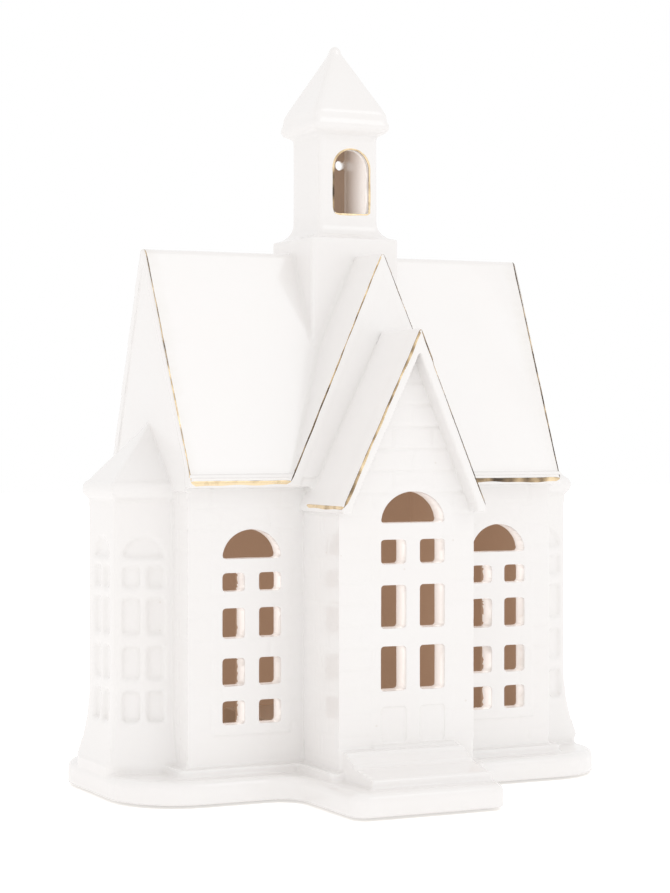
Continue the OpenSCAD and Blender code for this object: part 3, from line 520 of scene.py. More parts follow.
def cutCastings(body):
    far, fillet = cuts["far"], cuts["fillet"]
    base = house["baseZ"] + fillet
    eave = house["eaveZ"] - cuts["under"]
    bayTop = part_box("left_bay_roof")[1].z + fillet
    bayLow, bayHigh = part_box("left_bay")
    out = cuts["bayOut"]
    side = fillet + cuts["beside"]
    regions = [
        ("spire_cap", ((-far, -far, belfryHigh.z - cuts["under"]), (far, far, far)), ["spire"]),
        ("belfry_tower", ((-far, -far, belfryLow.z - fillet), (far, far, far)), ["belfry"]),
        ("entrance_steps", ((-far, -far, stepsLow.z + fillet),
                            (far, house["porchFrontY"] - fillet, stepsHigh.z + fillet)), ["front_steps"]),
        ("plinth_base", ((-far, -far, -far), (far, far, base)), ["plinth"]),
        ("left_bay_window", ((-far, bayLow.y - side, base - fillet),
                             (bayHigh.x - out, bayHigh.y + side, bayTop)), ["left_bay", "left_bay_roof"]),
        ("right_bay_window", ((house["rightX"] + out, bayLow.y - side, base - fillet),
                              (far, bayHigh.y + side, bayTop)), ["right_bay", "right_bay_roof"]),
        ("entrance_porch", ((porchRoofLow.x - side, -far, base - fillet),
                            (porchRoofHigh.x + side, house["frontY"] - fillet, far)),
         ["porch_front", "porch_side_walls", "porch_roof"]),
        ("nave_walls", ((-far, -far, -far), (far, far, eave)),
         ["front_wall_left", "front_wall_right", "back_wall", "left_gable_wall", "right_gable_wall"]),
    ]
    made = {}
    for name, (low, high), stands in regions:
        made[name] = (cutOut(body, boxRegion(low, high), name), stands)
    body.name = "nave_roofs"
    made["nave_roofs"] = (body, ["nave_roof", "cross_gable", "tower_collar"])
    return made


pieces = cutCastings(glazed)
for name, (piece, stands) in pieces.items():
    print("cut", name, len(piece.data.polygons), "faces")


# Shader helpers

def newMaterial(name):
    material = bpy.data.materials.new(name)
    material.use_nodes = True
    tree = material.node_tree
    return material, tree, tree.nodes["Principled BSDF"]


def addNode(tree, kind, **settings):
    node = tree.nodes.new(kind)
    for key, value in settings.items():
        if key in node.inputs:
            node.inputs[key].default_value = value
        else:
            setattr(node, key, value)
    return node


def join(tree, output, target):
    tree.links.new(output, target)


def feed(tree, value, socket):
    # a link where the value is another node's output, or else a constant
    if hasattr(value, "links"):
        join(tree, value, socket)
    else:
        socket.default_value = value


def maths(tree, operation, *values):
    node = addNode(tree, "ShaderNodeMath", operation=operation)
    for socket, value in zip(node.inputs, values):
        feed(tree, value, socket)
    return node.outputs[0]


def painted(tree, label):
    # a value stored on the mesh's points
    return addNode(tree, "ShaderNodeAttribute", attribute_name=label).outputs["Fac"]


def ramp(tree, source, stops, stepped=False):
    node = tree.nodes.new("ShaderNodeValToRGB")
    if stepped:
        node.color_ramp.interpolation = "CONSTANT"
    elements = node.color_ramp.elements
    while len(elements) < len(stops):
        elements.new(0.5)
    for element, (place, colour) in zip(elements, stops):
        element.position, element.color = place, (*colour, 1)
    join(tree, source, node.inputs["Fac"])
    return node.outputs["Color"]


def mixColour(tree, factor, first, second):
    node = tree.nodes.new("ShaderNodeMix")
    node.data_type = "RGBA"
    for socket, value in ((0, factor), (6, first), (7, second)):
        feed(tree, (*value, 1) if isinstance(value, tuple) else value, node.inputs[socket])
    return node.outputs[2]


def mapRange(tree, source, low, high):
    node = tree.nodes.new("ShaderNodeMapRange")
    node.inputs["To Min"].default_value = low
    node.inputs["To Max"].default_value = high
    join(tree, source, node.inputs["Value"])
    return node.outputs["Result"]


def newGroup(name, inputs, outputs):
    group = bpy.data.node_groups.new(name, "ShaderNodeTree")
    for label, value in inputs.items():
        socket = group.interface.new_socket(name=label, in_out="INPUT", socket_type="NodeSocketFloat")
        socket.default_value = value
    for label in outputs:
        group.interface.new_socket(name=label, in_out="OUTPUT", socket_type="NodeSocketFloat")
    return group, group.nodes.new("NodeGroupInput"), group.nodes.new("NodeGroupOutput")


flaws = {  # pinholes: how closely they lie, their size, and how few of them show
    "cellScale": 130,
    "holeSize": 0.045,
    "holeRarity": 0.72,
}


def makeUneven():
    # slow tone, fine grain and rare pinholes of a fired or moulded surface
    group, given, put = newGroup("unevenSurface", {"Tone Scale": 40, "Grain Scale": 900, "Pinholes": 0.5},
                                 ["Tone", "Grain", "Pinhole", "Height"])
    place = addNode(group, "ShaderNodeTexCoord").outputs["Object"]
    tone = addNode(group, "ShaderNodeTexNoise", Detail=3.0, Roughness=0.5)
    grain = addNode(group, "ShaderNodeTexNoise", Detail=2.0, Roughness=0.55)
    cells = addNode(group, "ShaderNodeTexVoronoi", feature="F1", Scale=flaws["cellScale"])
    for texture, label in ((tone, "Tone Scale"), (grain, "Grain Scale")):
        join(group, place, texture.inputs["Vector"])
        join(group, given.outputs[label], texture.inputs["Scale"])
    join(group, place, cells.inputs["Vector"])
    hole = maths(group, "LESS_THAN", cells.outputs["Distance"], flaws["holeSize"])
    rare = maths(group, "GREATER_THAN", cells.outputs["Color"], flaws["holeRarity"])
    amount = maths(group, "MULTIPLY", maths(group, "MULTIPLY", hole, rare), given.outputs["Pinholes"])
    height = maths(group, "SUBTRACT", grain.outputs["Fac"], amount)
    for source, label in ((tone.outputs["Fac"], "Tone"), (grain.outputs["Fac"], "Grain"),
                          (amount, "Pinhole"), (height, "Height")):
        join(group, source, put.inputs[label])
    return group


uneven = makeUneven()


def placeUneven(tree, toneScale, grainScale, pinholes):
    node = tree.nodes.new("ShaderNodeGroup")
    node.node_tree = uneven
    for label, value in (("Tone Scale", toneScale), ("Grain Scale", grainScale), ("Pinholes", pinholes)):
        node.inputs[label].default_value = value
    return node.outputs


def bumped(tree, shader, height, strength, distance):
    bump = addNode(tree, "ShaderNodeBump", Strength=strength, Distance=distance)
    join(tree, height, bump.inputs["Height"])
    join(tree, bump.outputs["Normal"], shader.inputs["Normal"])


# White glaze over a pale body
glaze = {
    "warm": (0.915, 0.895, 0.88),
    "cool": (0.93, 0.923, 0.917),
    # painted shade in the hollows, where the glaze also pools a little
    "pooledAndShaded": (0.875, 0.855, 0.83),
    # painted shade towards the back of the openings' sides
    "thin": (0.58, 0.49, 0.41),
    "pinhole": (0.62, 0.54, 0.44),
    "reveal": (1.0, 0.97, 0.95),
    "uneven": (38, 620, 0.2),
    "roughness": (0.16, 0.30),
    "bump": (0.10, 0.08 * mm),
    "coat": 0.35,
    "coatRoughness": 0.06,
    "poolShadeRounds": 2,
    "poolShadeGain": 4,
}


def makeGlaze():
    material, tree, shader = newMaterial("whiteGlaze")
    surface = placeUneven(tree, *glaze["uneven"])
    tone = mixColour(tree, surface["Tone"], glaze["warm"], glaze["cool"])
    # painted shade in the hollows, together with the glaze that pools there
    pooledAndShaded = mixColour(tree, painted(tree, "glazePoolAndShade"), tone, glaze["pooledAndShaded"])
    # painted shade towards the back of the openings
    thinned = mixColour(tree, painted(tree, "paintedRecessShade"), pooledAndShaded, glaze["thin"])
    join(tree, mixColour(tree, surface["Pinhole"], thinned, glaze["pinhole"]), shader.inputs["Base Color"])
    # light that goes to and fro between the white sides of an opening
    shader.inputs["Emission Color"].default_value = (*glaze["reveal"], 1)
    join(tree, painted(tree, "revealLight"), shader.inputs["Emission Strength"])
    join(tree, mapRange(tree, surface["Tone"], *glaze["roughness"]), shader.inputs["Roughness"])
    shader.inputs["Coat Weight"].default_value = glaze["coat"]
    shader.inputs["Coat Roughness"].default_value = glaze["coatRoughness"]
    shader.inputs["IOR"].default_value = 1.5
    bumped(tree, shader, surface["Height"], *glaze["bump"])
    material.cycles.emission_sampling = "NONE"
    return material


# Unglazed clay inside the house and under the foot
clay = {
    "pale": (0.50, 0.36, 0.26),
    "dark": (0.42, 0.29, 0.20),
    # painted shade at the back of the belfry's shaft and deep in the openings
    "deep": (0.12, 0.08, 0.06),
    "glow": (0.62, 0.43, 0.30),
    "glowStrength": 0.24,
    "foot": ((0.66, 0.60, 0.53), (0.55, 0.50, 0.44)),
    "pinhole": (0.5, 0.4, 0.3),
    "uneven": (55, 1500, 1.0),
    "roughness": (0.72, 0.92),
    "bump": (0.35, 0.12 * mm),
}


def makeClay(name, pale, dark, glow):
    material, tree, shader = newMaterial(name)
    surface = placeUneven(tree, *clay["uneven"])
    tone = mixColour(tree, surface["Tone"], pale, dark)
    # painted shade deeper into the openings and the belfry
    recessShadedClay = mixColour(tree, painted(tree, "paintedRecessShade"), tone, clay["deep"])
    join(tree, mixColour(tree, surface["Pinhole"], recessShadedClay, clay["pinhole"]), shader.inputs["Base Color"])
    join(tree, mapRange(tree, surface["Grain"], *clay["roughness"]), shader.inputs["Roughness"])
    # painted light: a warm glow in the clay that lifts the shaded inside of the house
    shader.inputs["Emission Color"].default_value = (*clay["glow"], 1)
    shader.inputs["Emission Strength"].default_value = glow
    bumped(tree, shader, surface["Height"], *clay["bump"])
    material.cycles.emission_sampling = "NONE"
    return material


glazeMaterial = makeGlaze()
clayMaterial = makeClay("bareClay", clay["pale"], clay["dark"], clay["glowStrength"])
footMaterial = makeClay("footClay", *clay["foot"], 0)


# Where the body is left bare: faces of the rooms, the attic, the unit's hole, the foot and the belfry's shaft
bare = {
    "slack": 0.35 * mm,
    "footRim": 4 * mm,
    "endWall": 0.85,  # from this share of the house's half length on
    "shaftWall": 1.5 * mm,
    "shaftTop": 1 * mm,
    "shaftFront": 3.2 * mm,
    "shaftFloor": 9 * mm,
}


def insidePlan(x, y, slack):
    wall = house["wall"]
    nave = ((x > house["leftX"] + wall - slack) & (x < house["rightX"] - wall + slack)
            & (y > house["frontY"] + wall - slack) & (y < house["backY"] - wall + slack))
    porch = ((x > house["porchLeftX"] + wall - slack) & (x < house["porchRightX"] - wall + slack)
             & (y > house["porchInnerY"] - slack) & (y < house["frontY"] + wall + slack))
    return nave, porch


def inShaft(x, y, z):
    half = (belfryHigh.x - belfryLow.x) / 2 - bare["shaftWall"]
    across, along = x - (belfryLow.x + belfryHigh.x) / 2, y - (belfryLow.y + belfryHigh.y) / 2
    return (np.abs(across) < half) & (np.abs(along) < half) & (z > belfryLow.z) \
        & (z < belfryHigh.z + bare["shaftTop"])


def bareFaces(centres, facing):
    # 0 for glaze, 1 for bare clay, 2 for the foot
    x, y, z = centres.T
    aside, upward = np.abs(facing[:, 0]), facing[:, 2]
    slack, ceiling = bare["slack"], upward < -0.1
    nave, porch = insidePlan(x, y, slack)
    middle = (porchRoofLow.x + porchRoofHigh.x) / 2
    slope = (porchRoofHigh.z - porchRoofLow.z) / (porchRoofHigh.x - middle)
    underPorch = z < porchRoofHigh.z - slope * np.abs(x - middle)
    rooms = (z < house["eaveZ"]) & (z > house["baseZ"] - slack) & (nave | porch)
    attic = nave & ceiling & (z < belfryLow.z)
    endWall = nave & (aside > 0.7) & (np.abs(x) > house["rightX"] * bare["endWall"])
    belfry = inShaft(x, y, z) & (y > belfryLow.y + bare["shaftFront"]) & (aside < 0.7) \
        & ((upward < 0.7) | (y > belfryLow.y + bare["shaftFloor"]))
    foot = (upward < -0.9) & (z < plinthLow.z + bare["footRim"])
    inUnitHole = (z < house["baseZ"]) & nave
    inside = rooms | attic | endWall | (porch & ceiling & underPorch) | belfry
    return np.where(foot | inUnitHole, 2, np.where(inside, 1, 0))


# The sides of the openings: the painted light that they share, the margins of each place, and the painted shade
# deeper in them
reveals = {
    "front": 0.40,
    "back": 0.26,
    "thinAtBack": 0.35,
    "belfry": 0.42,
    "start": 0.05 * mm,
    "naveEnds": (6 * mm, 3 * mm),
    "naveDeeper": 2.5 * mm,
    "besidePorch": 1 * mm,
    "porchSides": 5 * mm,
    "porchEnds": (2 * mm, 14 * mm),
    "porchDeeper": 0.8 * mm,
}


def revealMasks(mesh):
    places, normals = pointsAndNormals(mesh)
    x, y, z = places.T
    light, thin = np.zeros(len(places)), np.zeros(len(places))
    wall, porchLeft, porchRight = house["wall"], house["porchLeftX"], house["porchRightX"]
    foot, head = reveals["naveEnds"]
    inNave = (x > house["leftX"] + wall) & (x < house["rightX"] - wall) & (z > house["baseZ"] + foot) \
        & (z < house["eaveZ"] - head)
    byPorch = (x > porchLeft - reveals["besidePorch"]) & (x < porchRight + reveals["besidePorch"])
    foot, head = reveals["porchEnds"]
    inPorch = (x > porchLeft + reveals["porchSides"]) & (x < porchRight - reveals["porchSides"]) \
        & (z > stepsHigh.z + foot) & (z < porchRoofLow.z + head)
    porchDeep = house["porchInnerY"] - house["porchFrontY"] + reveals["porchDeeper"]
    sideways = np.clip((1 - np.abs(normals[:, 1])) * 1.6, 0, 1)
    for where, front, deep in ((inNave & ~byPorch, house["frontY"], wall + reveals["naveDeeper"]),
                               (inPorch, house["porchFrontY"], porchDeep)):
        depth = (y - front) / deep
        on = where & (y > front + reveals["start"]) & (depth < 1.05) & (normals[:, 1] < 0.75)
        amount = reveals["front"] + (reveals["back"] - reveals["front"]) * np.clip(depth, 0, 1)
        light = np.where(on, amount * sideways * np.clip(depth * 10, 0, 1), light)
        # painted shade, darker deeper into the opening
        thin = np.where(on, reveals["thinAtBack"] * np.clip(depth * 1.4 - 0.4, 0, 1), thin)
    depth = (y - belfryLow.y) / (belfryHigh.y - belfryLow.y)
    shaft = inShaft(x, y, z) & (y > belfryLow.y + reveals["start"])
    light = np.where(shaft, reveals["belfry"] * np.clip(1.15 - 1.4 * depth, 0, 1), light)
    # painted shade, darker towards the back of the belfry's shaft
    thin = np.where(shaft, np.clip(1.3 * depth - 0.35, 0, 1), thin)
    return light, thin


def cavity(mesh):
    # how hollow the surface is at each point, from its edges: it sets the painted shade in the hollows, where
    # the glaze also pools
    places, normals = pointsAndNormals(mesh)
    ends = np.empty(len(mesh.edges) * 2, np.int32)
    mesh.edges.foreach_get("vertices", ends)
    first, second = ends.reshape(-1, 2).T
    span = places[second] - places[first]
    length = np.maximum(np.linalg.norm(span, axis=1), 1e-9)
    total, count = np.zeros(len(places)), np.zeros(len(places))
    for a, sign in ((first, 1), (second, -1)):
        np.add.at(total, a, sign * (span * normals[a]).sum(1) / length)
        np.add.at(count, a, 1)
    bend = total / np.maximum(count, 1)
    for _ in range(glaze["poolShadeRounds"]):
        spread, count = bend.copy(), np.ones(len(places))
        for a, b in ((first, second), (second, first)):
            np.add.at(spread, a, bend[b])
            np.add.at(count, a, 1)
        bend = spread / count
    return np.clip(bend * glaze["poolShadeGain"], 0, 1)


def dress(piece):
    mesh = piece.data
    mesh.materials.clear()
    for material in (glazeMaterial, clayMaterial, footMaterial):
        mesh.materials.append(material)
    kinds = bareFaces(triples(mesh.polygons, "center"), triples(mesh.polygons, "normal"))
    mesh.polygons.foreach_set("material_index", kinds.astype(np.int32))
    # painted light on the sides of the openings, and painted shade deeper in them and in the belfry
    light, thin = revealMasks(mesh)
    for label, values in (("glazePoolAndShade", cavity(mesh)), ("revealLight", light), ("paintedRecessShade", thin)):
        paint(mesh, label, values)
    shadeSmooth(mesh, skin["sharpAngle"])
    weighted = piece.modifiers.new("evenShade", "WEIGHTED_NORMAL")
    weighted.keep_sharp = True


for name, (piece, stands) in pieces.items():
    dress(piece)
    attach(piece, "house")
    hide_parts(*stands)
print("castings dressed")


# Gold lines, brushed along the edges
gold = {
    "step": 0.5 * mm,
    "lift": 0.10 * mm,
    "sink": 0.10 * mm,
    "rings": 9,
    "wobble": 0.28,
    # painted reflection: brighter and darker patches along each line, and a painted highlight along its middle
    "patchy": 0.30,
    "middleHighlight": 0.18,
    "firstWaves": (0.11, 0.23, 0.41, 0.9),
    "secondWaves": (0.13, 0.31, 0.57),
    "patchWaves": (0.07, 0.19, 0.47, 1.1),
    "taper": (1.2, 4),  # steps that an end is ahead by, and steps to full strength
    "sharpAngle": 60,
    "verge": (0.9 * mm, 2.8 * mm),  # how far out the nave's lines lie at the eave and at the ridge
    "crestBack": 0.4 * mm,
    "filmOut": 1.2 * mm,
    "uneven": (420, 2600, 0.4),
    "toneSwing": 0.8,
    "roughness": (0.12, 0.34),
    "bump": (0.3, 0.05 * mm),
}
# colours of the lustre, from painted dark reflection to painted bright reflection
lustreByReflection = [(0.0, (0.10, 0.075, 0.055)), (0.35, (0.30, 0.22, 0.14)), (0.7, (0.66, 0.50, 0.31)),
          (1.0, (0.94, 0.76, 0.50))]

# Each stroke's widths to both sides of its edge in millimetres, then how bright its painted reflection is
# at the start, at the end, and how much brighter on the second side
strokes = {
    "naveLeftRake": ((0.30, 0.26), (0.85, 0.45, 0.1)),
    "naveLeftEave": ((0.28, 1.1), (1.4, 1.5, 1.1)),
    "naveRightRake": ((0.36, 0.34), (0.1, 0.05, 0)),
    "naveRightEave": ((0.28, 1.1), (0.45, 0.3, 0.2)),
    "crossLeft": ((0.45, 0.42), (0.0, 0.95, -0.25)),
    "crossRight": ((0.28, 0.28), (0.15, 0.05, 0)),
    "porchLeft": ((0.45, 0.85), (0.38, 0.42, 0.36)),
    "porchRight": ((0.3, 0.45), (0.15, 0.3, 0)),
    "porchEave": ((0.2, 0.85), (1.0, 1.2, 0.05)),
    "belfryRing": ((0.4, 0.7), (1.1, 0.1, 0.3)),
}


def resampled(path, step):
    # even points along a chain of corners, each with the number of its stretch
    made = []
    for index in range(len(path) - 1):
        start, end = path[index], path[index + 1]
        count = max(2, int((end - start).length / step))
        made += [(start.lerp(end, k / count), index) for k in range(count)]
    made.append((path[-1], len(path) - 2))
    return made


def waves(run, rates, phases):
    return sum(math.sin(run * rate + phase) for rate, phase in zip(rates, phases)) / len(rates)


def goldLine(path, sides, stroke, seed):
    # sides holds, for each stretch, the two directions that the line spreads in from its edge
    widths, reflectionLevels = strokes[stroke]
    made = resampled([Vector(p) for p in path], gold["step"])
    phases = np.random.default_rng(seed).uniform(0, 2 * math.pi, 6)
    early, full = gold["taper"]
    rings, paintedReflection = [], []
    for order, (place, index) in enumerate(made):
        run = order * gold["step"] / mm
        fade = min(1.0, (min(order, len(made) - 1 - order) + early) / full)
        first, second = Vector(sides[index][0]), Vector(sides[index][1])
        firstWidth = widths[0] * mm * (1 + gold["wobble"] * waves(run, gold["firstWaves"], phases)) * fade
        secondWidth = widths[1] * mm * (1 + gold["wobble"] * waves(run, gold["secondWaves"], phases[2:])) * fade
        along = order / (len(made) - 1)
        patch = waves(run, gold["patchWaves"], phases)
        base = reflectionLevels[0] + (reflectionLevels[1] - reflectionLevels[0]) * along + gold["patchy"] * 2 * patch
        top, under, ringReflection = [], [], []
        for k in range(gold["rings"]):
            t = 2 * k / (gold["rings"] - 1) - 1
            # painted reflection across the line, with a painted highlight along its middle
            ringReflection.append(base + reflectionLevels[2] * t + gold["middleHighlight"] * (0.5 - abs(t)))
            target = place + (first * (-t * firstWidth) if t < 0 else second * (t * secondWidth))
            found, normal, _, _ = skinTree.find_nearest(target)
            top.append(found + normal * (gold["lift"] * math.sqrt(max(0, 1 - t * t)) * fade))
            if abs(t) < 1:
                under.append(found - normal * gold["sink"])
        rings.append(top + under[::-1])
        paintedReflection += ringReflection + ringReflection[1:-1][::-1]
    size = len(rings[0])
    corners = [p for ring in rings for p in ring]
    faces = []
    for i in range(len(rings) - 1):
        a, b = i * size, (i + 1) * size
        faces += [(a + j, a + (j + 1) % size, b + (j + 1) % size, b + j) for j in range(size)]
    faces += [tuple(range(size))[::-1], tuple((len(rings) - 1) * size + j for j in range(size))]
    mesh = bpy.data.meshes.new("goldLine")
    mesh.from_pydata(corners, [], faces)
    paint(mesh, "goldPaintedReflection", np.clip(paintedReflection, 0, 1))
    working = bmesh.new()
    working.from_mesh(mesh)
    bmesh.ops.recalc_face_normals(working, faces=working.faces)
    working.to_mesh(mesh)
    working.free()
    shadeSmooth(mesh, gold["sharpAngle"])
    return linked("goldLine", mesh)


def joinPieces(name, parts):
    working = bmesh.new()
    for part in parts:
        working.from_mesh(part.data)
        bpy.data.objects.remove(part)
    return fromBmesh(working, name)


def makeGold():
    material, tree, shader = newMaterial("goldLustre")
    surface = placeUneven(tree, *gold["uneven"])
    # painted reflection: the stored level, swung by noise, picks a dark or a bright lustre colour
    patch = maths(tree, "SUBTRACT", surface["Tone"], 0.5)
    tone = maths(tree, "MULTIPLY_ADD", patch, gold["toneSwing"], painted(tree, "goldPaintedReflection"))
    join(tree, ramp(tree, tone, lustreByReflection), shader.inputs["Base Color"])
    join(tree, mapRange(tree, surface["Grain"], *gold["roughness"]), shader.inputs["Roughness"])
    shader.inputs["Metallic"].default_value = 1
    bumped(tree, shader, surface["Height"], *gold["bump"])
    return material


goldMaterial = makeGold()


def goldPiece(name, parts, node):
    piece = joinPieces(name, parts)
    piece.data.materials.append(goldMaterial)
    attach(piece, "house")
    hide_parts(node)


eaveTop, eaveY = house["eaveZ"] + forms["eaveEdge"], roofLow.y
halfSpan = house["ridgeY"] - eaveY
naveApex = ridgeApex(roofHigh.z, eaveTop, halfSpan, forms["ridgeRound"])
naveSlope = Vector((0, halfSpan, naveApex - eaveTop)).normalized()
naveDown = Vector((0, naveSlope.z, -naveSlope.y))


def naveGold(side, name, node, seed):
    which = "naveRight" if side > 0 else "naveLeft"
    low, crossEdge = (house["rightX"], crossHigh.x) if side > 0 else (house["leftX"], crossLow.x)
    vergeLow, vergeHigh = gold["verge"]
    foot = Vector((low + side * vergeLow, eaveY, eaveTop))
    head = Vector((low + side * vergeHigh, house["ridgeY"], naveApex))
    top = foot.lerp(head, 1 - forms["ridgeRound"] / halfSpan)
    crest = Vector((head.x, house["ridgeY"] - gold["crestBack"], roofHigh.z))
    inward = Vector((-side, 0, 0))
    rake = goldLine([foot, top, crest], [(inward, naveDown), (inward, down)], which + "Rake", seed)
    eaveEnd = Vector((crossEdge, eaveY, eaveTop))
    eave = goldLine([foot, eaveEnd], [(naveSlope, down)], which + "Eave", seed + 1)
    goldPiece(name, [rake, eave], node)


naveGold(-1, "nave_gold_left", "nave_left_gold", 11)
naveGold(1, "nave_gold_right", "nave_right_gold", 21)


def gableGold(name, node, kind, low, high, edgeZ, frontY, seed, eaveBack=None):
    crest = crests[kind]
    left, right = Vector((low.x, frontY, edgeZ)), Vector((high.x, frontY, edgeZ))
    peak = Vector((crest["middle"], frontY, crest["apex"]))
    top = Vector((crest["middle"], frontY, crest["apex"] - crest["drop"]))
    leftUp, rightUp = (peak - left).normalized(), (peak - right).normalized()
    leftDown = Vector((leftUp.z, 0, -leftUp.x))
    rightDown = Vector((-abs(rightUp.z), 0, -abs(rightUp.x)))
    back = Vector((0, 1, 0))
    near = 1 - forms["crestRound"][kind] * 1.1 / crest["half"]
    parts = [goldLine([left, left.lerp(peak, near), top], [(back, leftDown), (back, down)],
                      kind + "Left", seed),
             goldLine([right, right.lerp(peak, near), top], [(back, rightDown), (back, down)],
                      kind + "Right", seed + 2)]
    if eaveBack is not None:
        parts.append(goldLine([left, Vector((low.x, eaveBack, edgeZ))], [(leftUp, down)],
                              kind + "Eave", seed + 1))
    goldPiece(name, parts, node)


gableGold("cross_gable_gold_line", "cross_gable_gold", "cross", crossLow, crossHigh, eaveTop, crossLow.y, 31)
gableGold("porch_gold_line", "porch_gold", "porch", porchRoofLow, porchRoofHigh,
          porchRoofLow.z + forms["eaveEdge"], porchRoofLow.y, 41, eaveBack=crossLow.y)


def belfryGold():
    outerLow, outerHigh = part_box("belfry_gold")
    film = gold["filmOut"]
    low = Vector((outerLow.x + film, 0, outerLow.z + film))
    high = Vector((outerHigh.x - film, 0, outerHigh.z - film))
    radius = (high.x - low.x) / 2
    middle, spring, frontY = low.x + radius, high.z - radius, belfryLow.y
    path, sides = [], []

    def corner(x, z):
        path.append(Vector((x, frontY, z)))

    corner(low.x, low.z)
    corner(high.x, low.z)
    turns = 16
    for k in range(turns + 1):
        angle = math.pi * k / turns
        corner(middle + radius * math.cos(angle), spring + radius * math.sin(angle))
    corner(low.x, low.z)
    centre = Vector((middle, frontY, (low.z + spring) / 2))
    for index in range(len(path) - 1):
        run = (path[index + 1] - path[index]).normalized()
        outward = Vector((run.z, 0, -run.x))
        if outward.dot(path[index].lerp(path[index + 1], 0.5) - centre) < 0:
            outward = -outward
        sides.append(((0, 1, 0), outward))
    goldPiece("belfry_gold_line", [goldLine(path, sides, "belfryRing", 51)], "belfry_gold")


belfryGold()
print("gold lines brushed")


# The battery light unit: moulded, stamped and drawn parts, each with its own surface and edges rounded
# by so many millimetres
unit = {
    "light_housing": ("whiteMoulding", 0.35),
    "lamp_cover": ("lampMoulding", 0.30),
    "battery_door": ("whiteMoulding", 0.30),
    "switch_slider": ("blackMoulding", 0.15),
    "switch_body": ("platedSteel", 0.10),
    "board_screws": ("screwSteel", 0.08),
    "battery_contacts": ("springSteel", 0.04),
    "circuit_board": ("greenBoard", 0.06),
    "led": ("lampResin", 0.12),
    "battery_cells": ("cellJacket", 0.25),
    "switch_wires": ("wireSleeve", 0),
    "seal_ring": ("sealRubber", 0),
    "rubber_feet": ("footRubber", 0.12),
}


# Two colours, roughness, tone and grain scale, bump strength and depth in millimetres, metallic and coat
finishes = {
    "whiteMoulding": ((0.80, 0.79, 0.76), (0.84, 0.83, 0.81), (0.38, 0.55), (60, 2600), (0.25, 0.06)),
    "lampMoulding": ((0.84, 0.83, 0.79), (0.88, 0.87, 0.84), (0.30, 0.45), (80, 1800), (0.15, 0.05)),
    "blackMoulding": ((0.022, 0.022, 0.024), (0.035, 0.034, 0.034), (0.40, 0.58), (90, 3000), (0.30, 0.05)),
    "platedSteel": ((0.62, 0.62, 0.60), (0.70, 0.69, 0.67), (0.22, 0.40), (120, 2200), (0.12, 0.03), 1.0),
    "screwSteel": ((0.55, 0.55, 0.54), (0.68, 0.67, 0.65), (0.18, 0.42), (420, 3800), (0.20, 0.03), 1.0),
    "springSteel": ((0.60, 0.58, 0.53), (0.74, 0.72, 0.66), (0.20, 0.34), (260, 2600), (0.10, 0.02), 1.0),
    "greenBoard": ((0.018, 0.13, 0.05), (0.028, 0.18, 0.07), (0.25, 0.42), (300, 5200), (0.20, 0.02), 0.0, 0.5),
    "lampResin": ((0.86, 0.80, 0.62), (0.90, 0.85, 0.70), (0.06, 0.14), (120, 1200), (0.05, 0.02), 0.0, 0.8),
    "cellJacket": ((0.05, 0.07, 0.09), (0.07, 0.09, 0.12), (0.25, 0.38), (70, 2000), (0.06, 0.03), 0.0, 0.4),
    "wireSleeve": ((0.45, 0.03, 0.02), (0.55, 0.05, 0.03), (0.40, 0.52), (200, 3000), (0.15, 0.03)),
    "sealRubber": ((0.030, 0.029, 0.028), (0.045, 0.043, 0.041), (0.62, 0.82), (90, 3400), (0.35, 0.05)),
    "footRubber": ((0.58, 0.57, 0.54), (0.66, 0.65, 0.62), (0.45, 0.60), (140, 2600), (0.20, 0.04)),
}
# Bands of colour: their start along the part, from 0 to 1
cellBands = [(0.0, (0.62, 0.61, 0.59)), (0.035, (0.05, 0.07, 0.09)), (0.80, (0.72, 0.42, 0.20)),
             (0.965, (0.62, 0.61, 0.59))]
wireBands = [(0.0, (0.03, 0.03, 0.03)), (0.5, (0.5, 0.03, 0.02))]


def unitMaterial(name, first, second, roughness, scales, bump, metallic=0.0, coat=0.0):
    material, tree, shader = newMaterial(name)
    surface = placeUneven(tree, *scales, 0.3)
    join(tree, mixColour(tree, surface["Tone"], first, second), shader.inputs["Base Color"])
    join(tree, mapRange(tree, surface["Grain"], *roughness), shader.inputs["Roughness"])
    shader.inputs["Metallic"].default_value = metallic
    shader.inputs["Coat Weight"].default_value = coat
    bumped(tree, shader, surface["Height"], bump[0], bump[1] * mm)
    return material


def band(material, axis, low, high, bands):
    # colours that change along one axis of the part
    tree = material.node_tree
    split = addNode(tree, "ShaderNodeSeparateXYZ")
    join(tree, addNode(tree, "ShaderNodeTexCoord").outputs["Object"], split.inputs[0])
    along = addNode(tree, "ShaderNodeMapRange")
    along.inputs["From Min"].default_value, along.inputs["From Max"].default_value = low, high
    join(tree, split.outputs[axis], along.inputs["Value"])
    colour = ramp(tree, along.outputs["Result"], bands, stepped=True)
    join(tree, colour, tree.nodes["Principled BSDF"].inputs["Base Color"])


def makeUnitMaterials():
    made = {name: unitMaterial(name, *settings) for name, settings in finishes.items()}
    low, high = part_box("battery_cells")
    band(made["cellJacket"], "X", low.x, high.x, cellBands)
    low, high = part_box("switch_wires")
    band(made["wireSleeve"], "Y", low.y, high.y, wireBands)
    return made


def dressUnit():
    made = makeUnitMaterials()
    for name, (surface, bevel) in unit.items():
        piece = nodes[name]
        piece.data.materials.clear()
        piece.data.materials.append(made[surface])
        for polygon in piece.data.polygons:
            polygon.material_index = 0
        if bevel:
            edge = piece.modifiers.new("softEdge", "BEVEL")
            edge.width, edge.segments, edge.limit_method = bevel * mm, 2, "ANGLE"
            edge.angle_limit = math.radians(skin["sharpAngle"])
            edge.harden_normals = True
        shadeSmooth(piece.data, skin["sharpAngle"])


dressUnit()
print("light unit dressed")


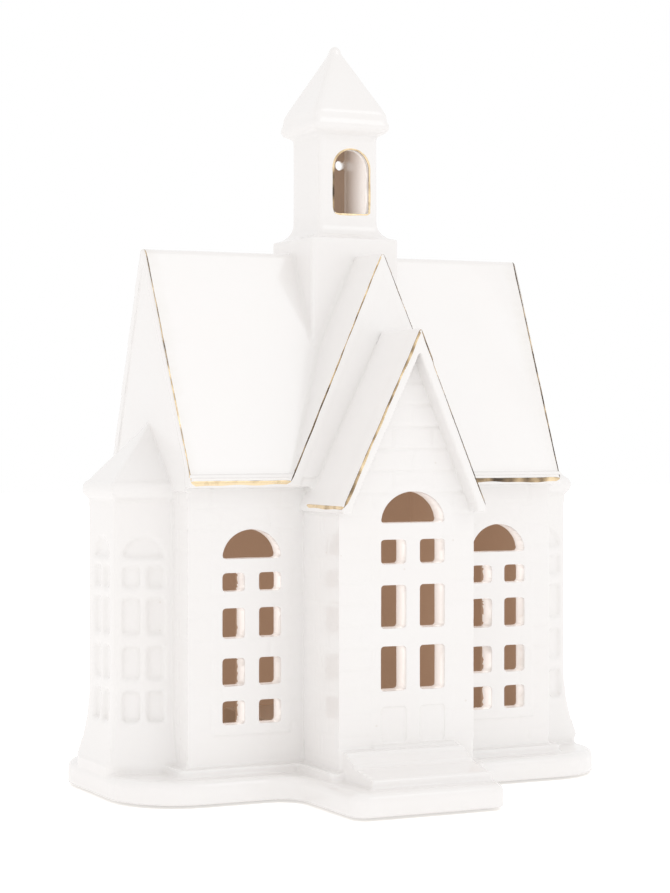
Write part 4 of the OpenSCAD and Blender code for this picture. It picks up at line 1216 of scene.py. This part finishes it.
# Studio: white floor and surroundings, soft light from above in front and from the left
studio = {
    "floorSize": 6.0,
    "floorColour": (0.94, 0.94, 0.94),
    "floorWhite": 0.30,
    "worldColour": (1.0, 0.980, 0.970),
    "worldStrength": 0.925,
    "floorGlow": 0.205,
    "aim": (0, 0, 0.1),
    "lamps": [  # name, place, size, power, colour
        ("key", (0.70, -1.12, 1.35), (0.6, 0.6), 1.6, (0.9, 0.97, 1.0)),
        ("side", (-1.5, -0.9, 0.12), (1.2, 0.4), 0.42, (1.0, 0.97, 0.95)),
    ],
}


def makeFloor():
    mesh = bpy.data.meshes.new("floor")
    half = studio["floorSize"] / 2
    corners = [(-half, -half, 0), (half, -half, 0), (half, half, 0), (-half, half, 0)]
    mesh.from_pydata(corners, [], [(0, 1, 2, 3)])
    floor = linked("floor", mesh)
    material, tree, shader = newMaterial("floorWhite")
    shader.inputs["Base Color"].default_value = (*studio["floorColour"], 1)
    shader.inputs["Roughness"].default_value = 0.9
    shader.inputs["Specular IOR Level"].default_value = 0.1
    path = addNode(tree, "ShaderNodeLightPath")
    glow = maths(tree, "MULTIPLY_ADD", path.outputs["Is Camera Ray"], studio["floorWhite"], studio["floorGlow"])
    shader.inputs["Emission Color"].default_value = (1, 1, 1, 1)
    join(tree, glow, shader.inputs["Emission Strength"])
    mesh.materials.append(material)


def makeWorld():
    world = bpy.data.worlds.new("studio")
    bpy.context.scene.world = world
    world.use_nodes = True
    tree = world.node_tree
    light = tree.nodes["Background"]
    light.inputs["Color"].default_value = (*studio["worldColour"], 1)
    light.inputs["Strength"].default_value = studio["worldStrength"]
    # what the camera, a mirror or glass sees is plain white
    white = addNode(tree, "ShaderNodeBackground", Color=(1, 1, 1, 1), Strength=1)
    path = addNode(tree, "ShaderNodeLightPath")
    seen = path.outputs["Is Camera Ray"]
    for ray in ("Is Glossy Ray", "Is Transmission Ray"):
        seen = maths(tree, "MAXIMUM", seen, path.outputs[ray])
    mix = addNode(tree, "ShaderNodeMixShader")
    for socket, source in zip(mix.inputs, (seen, light.outputs[0], white.outputs[0])):
        join(tree, source, socket)
    join(tree, mix.outputs[0], tree.nodes["World Output"].inputs["Surface"])


def makeLamps():
    for name, place, size, power, colour in studio["lamps"]:
        data = bpy.data.lights.new(name, "AREA")
        data.shape = "RECTANGLE"
        data.size, data.size_y = size
        data.energy, data.color = power, colour
        lamp = linked(name, data)
        lamp.location = place
        lamp.rotation_euler = (Vector(studio["aim"]) - Vector(place)).to_track_quat("-Z", "Y").to_euler()


makeFloor()
makeWorld()
makeLamps()
bpy.context.scene.view_settings.view_transform = "Standard"
print("studio lit")
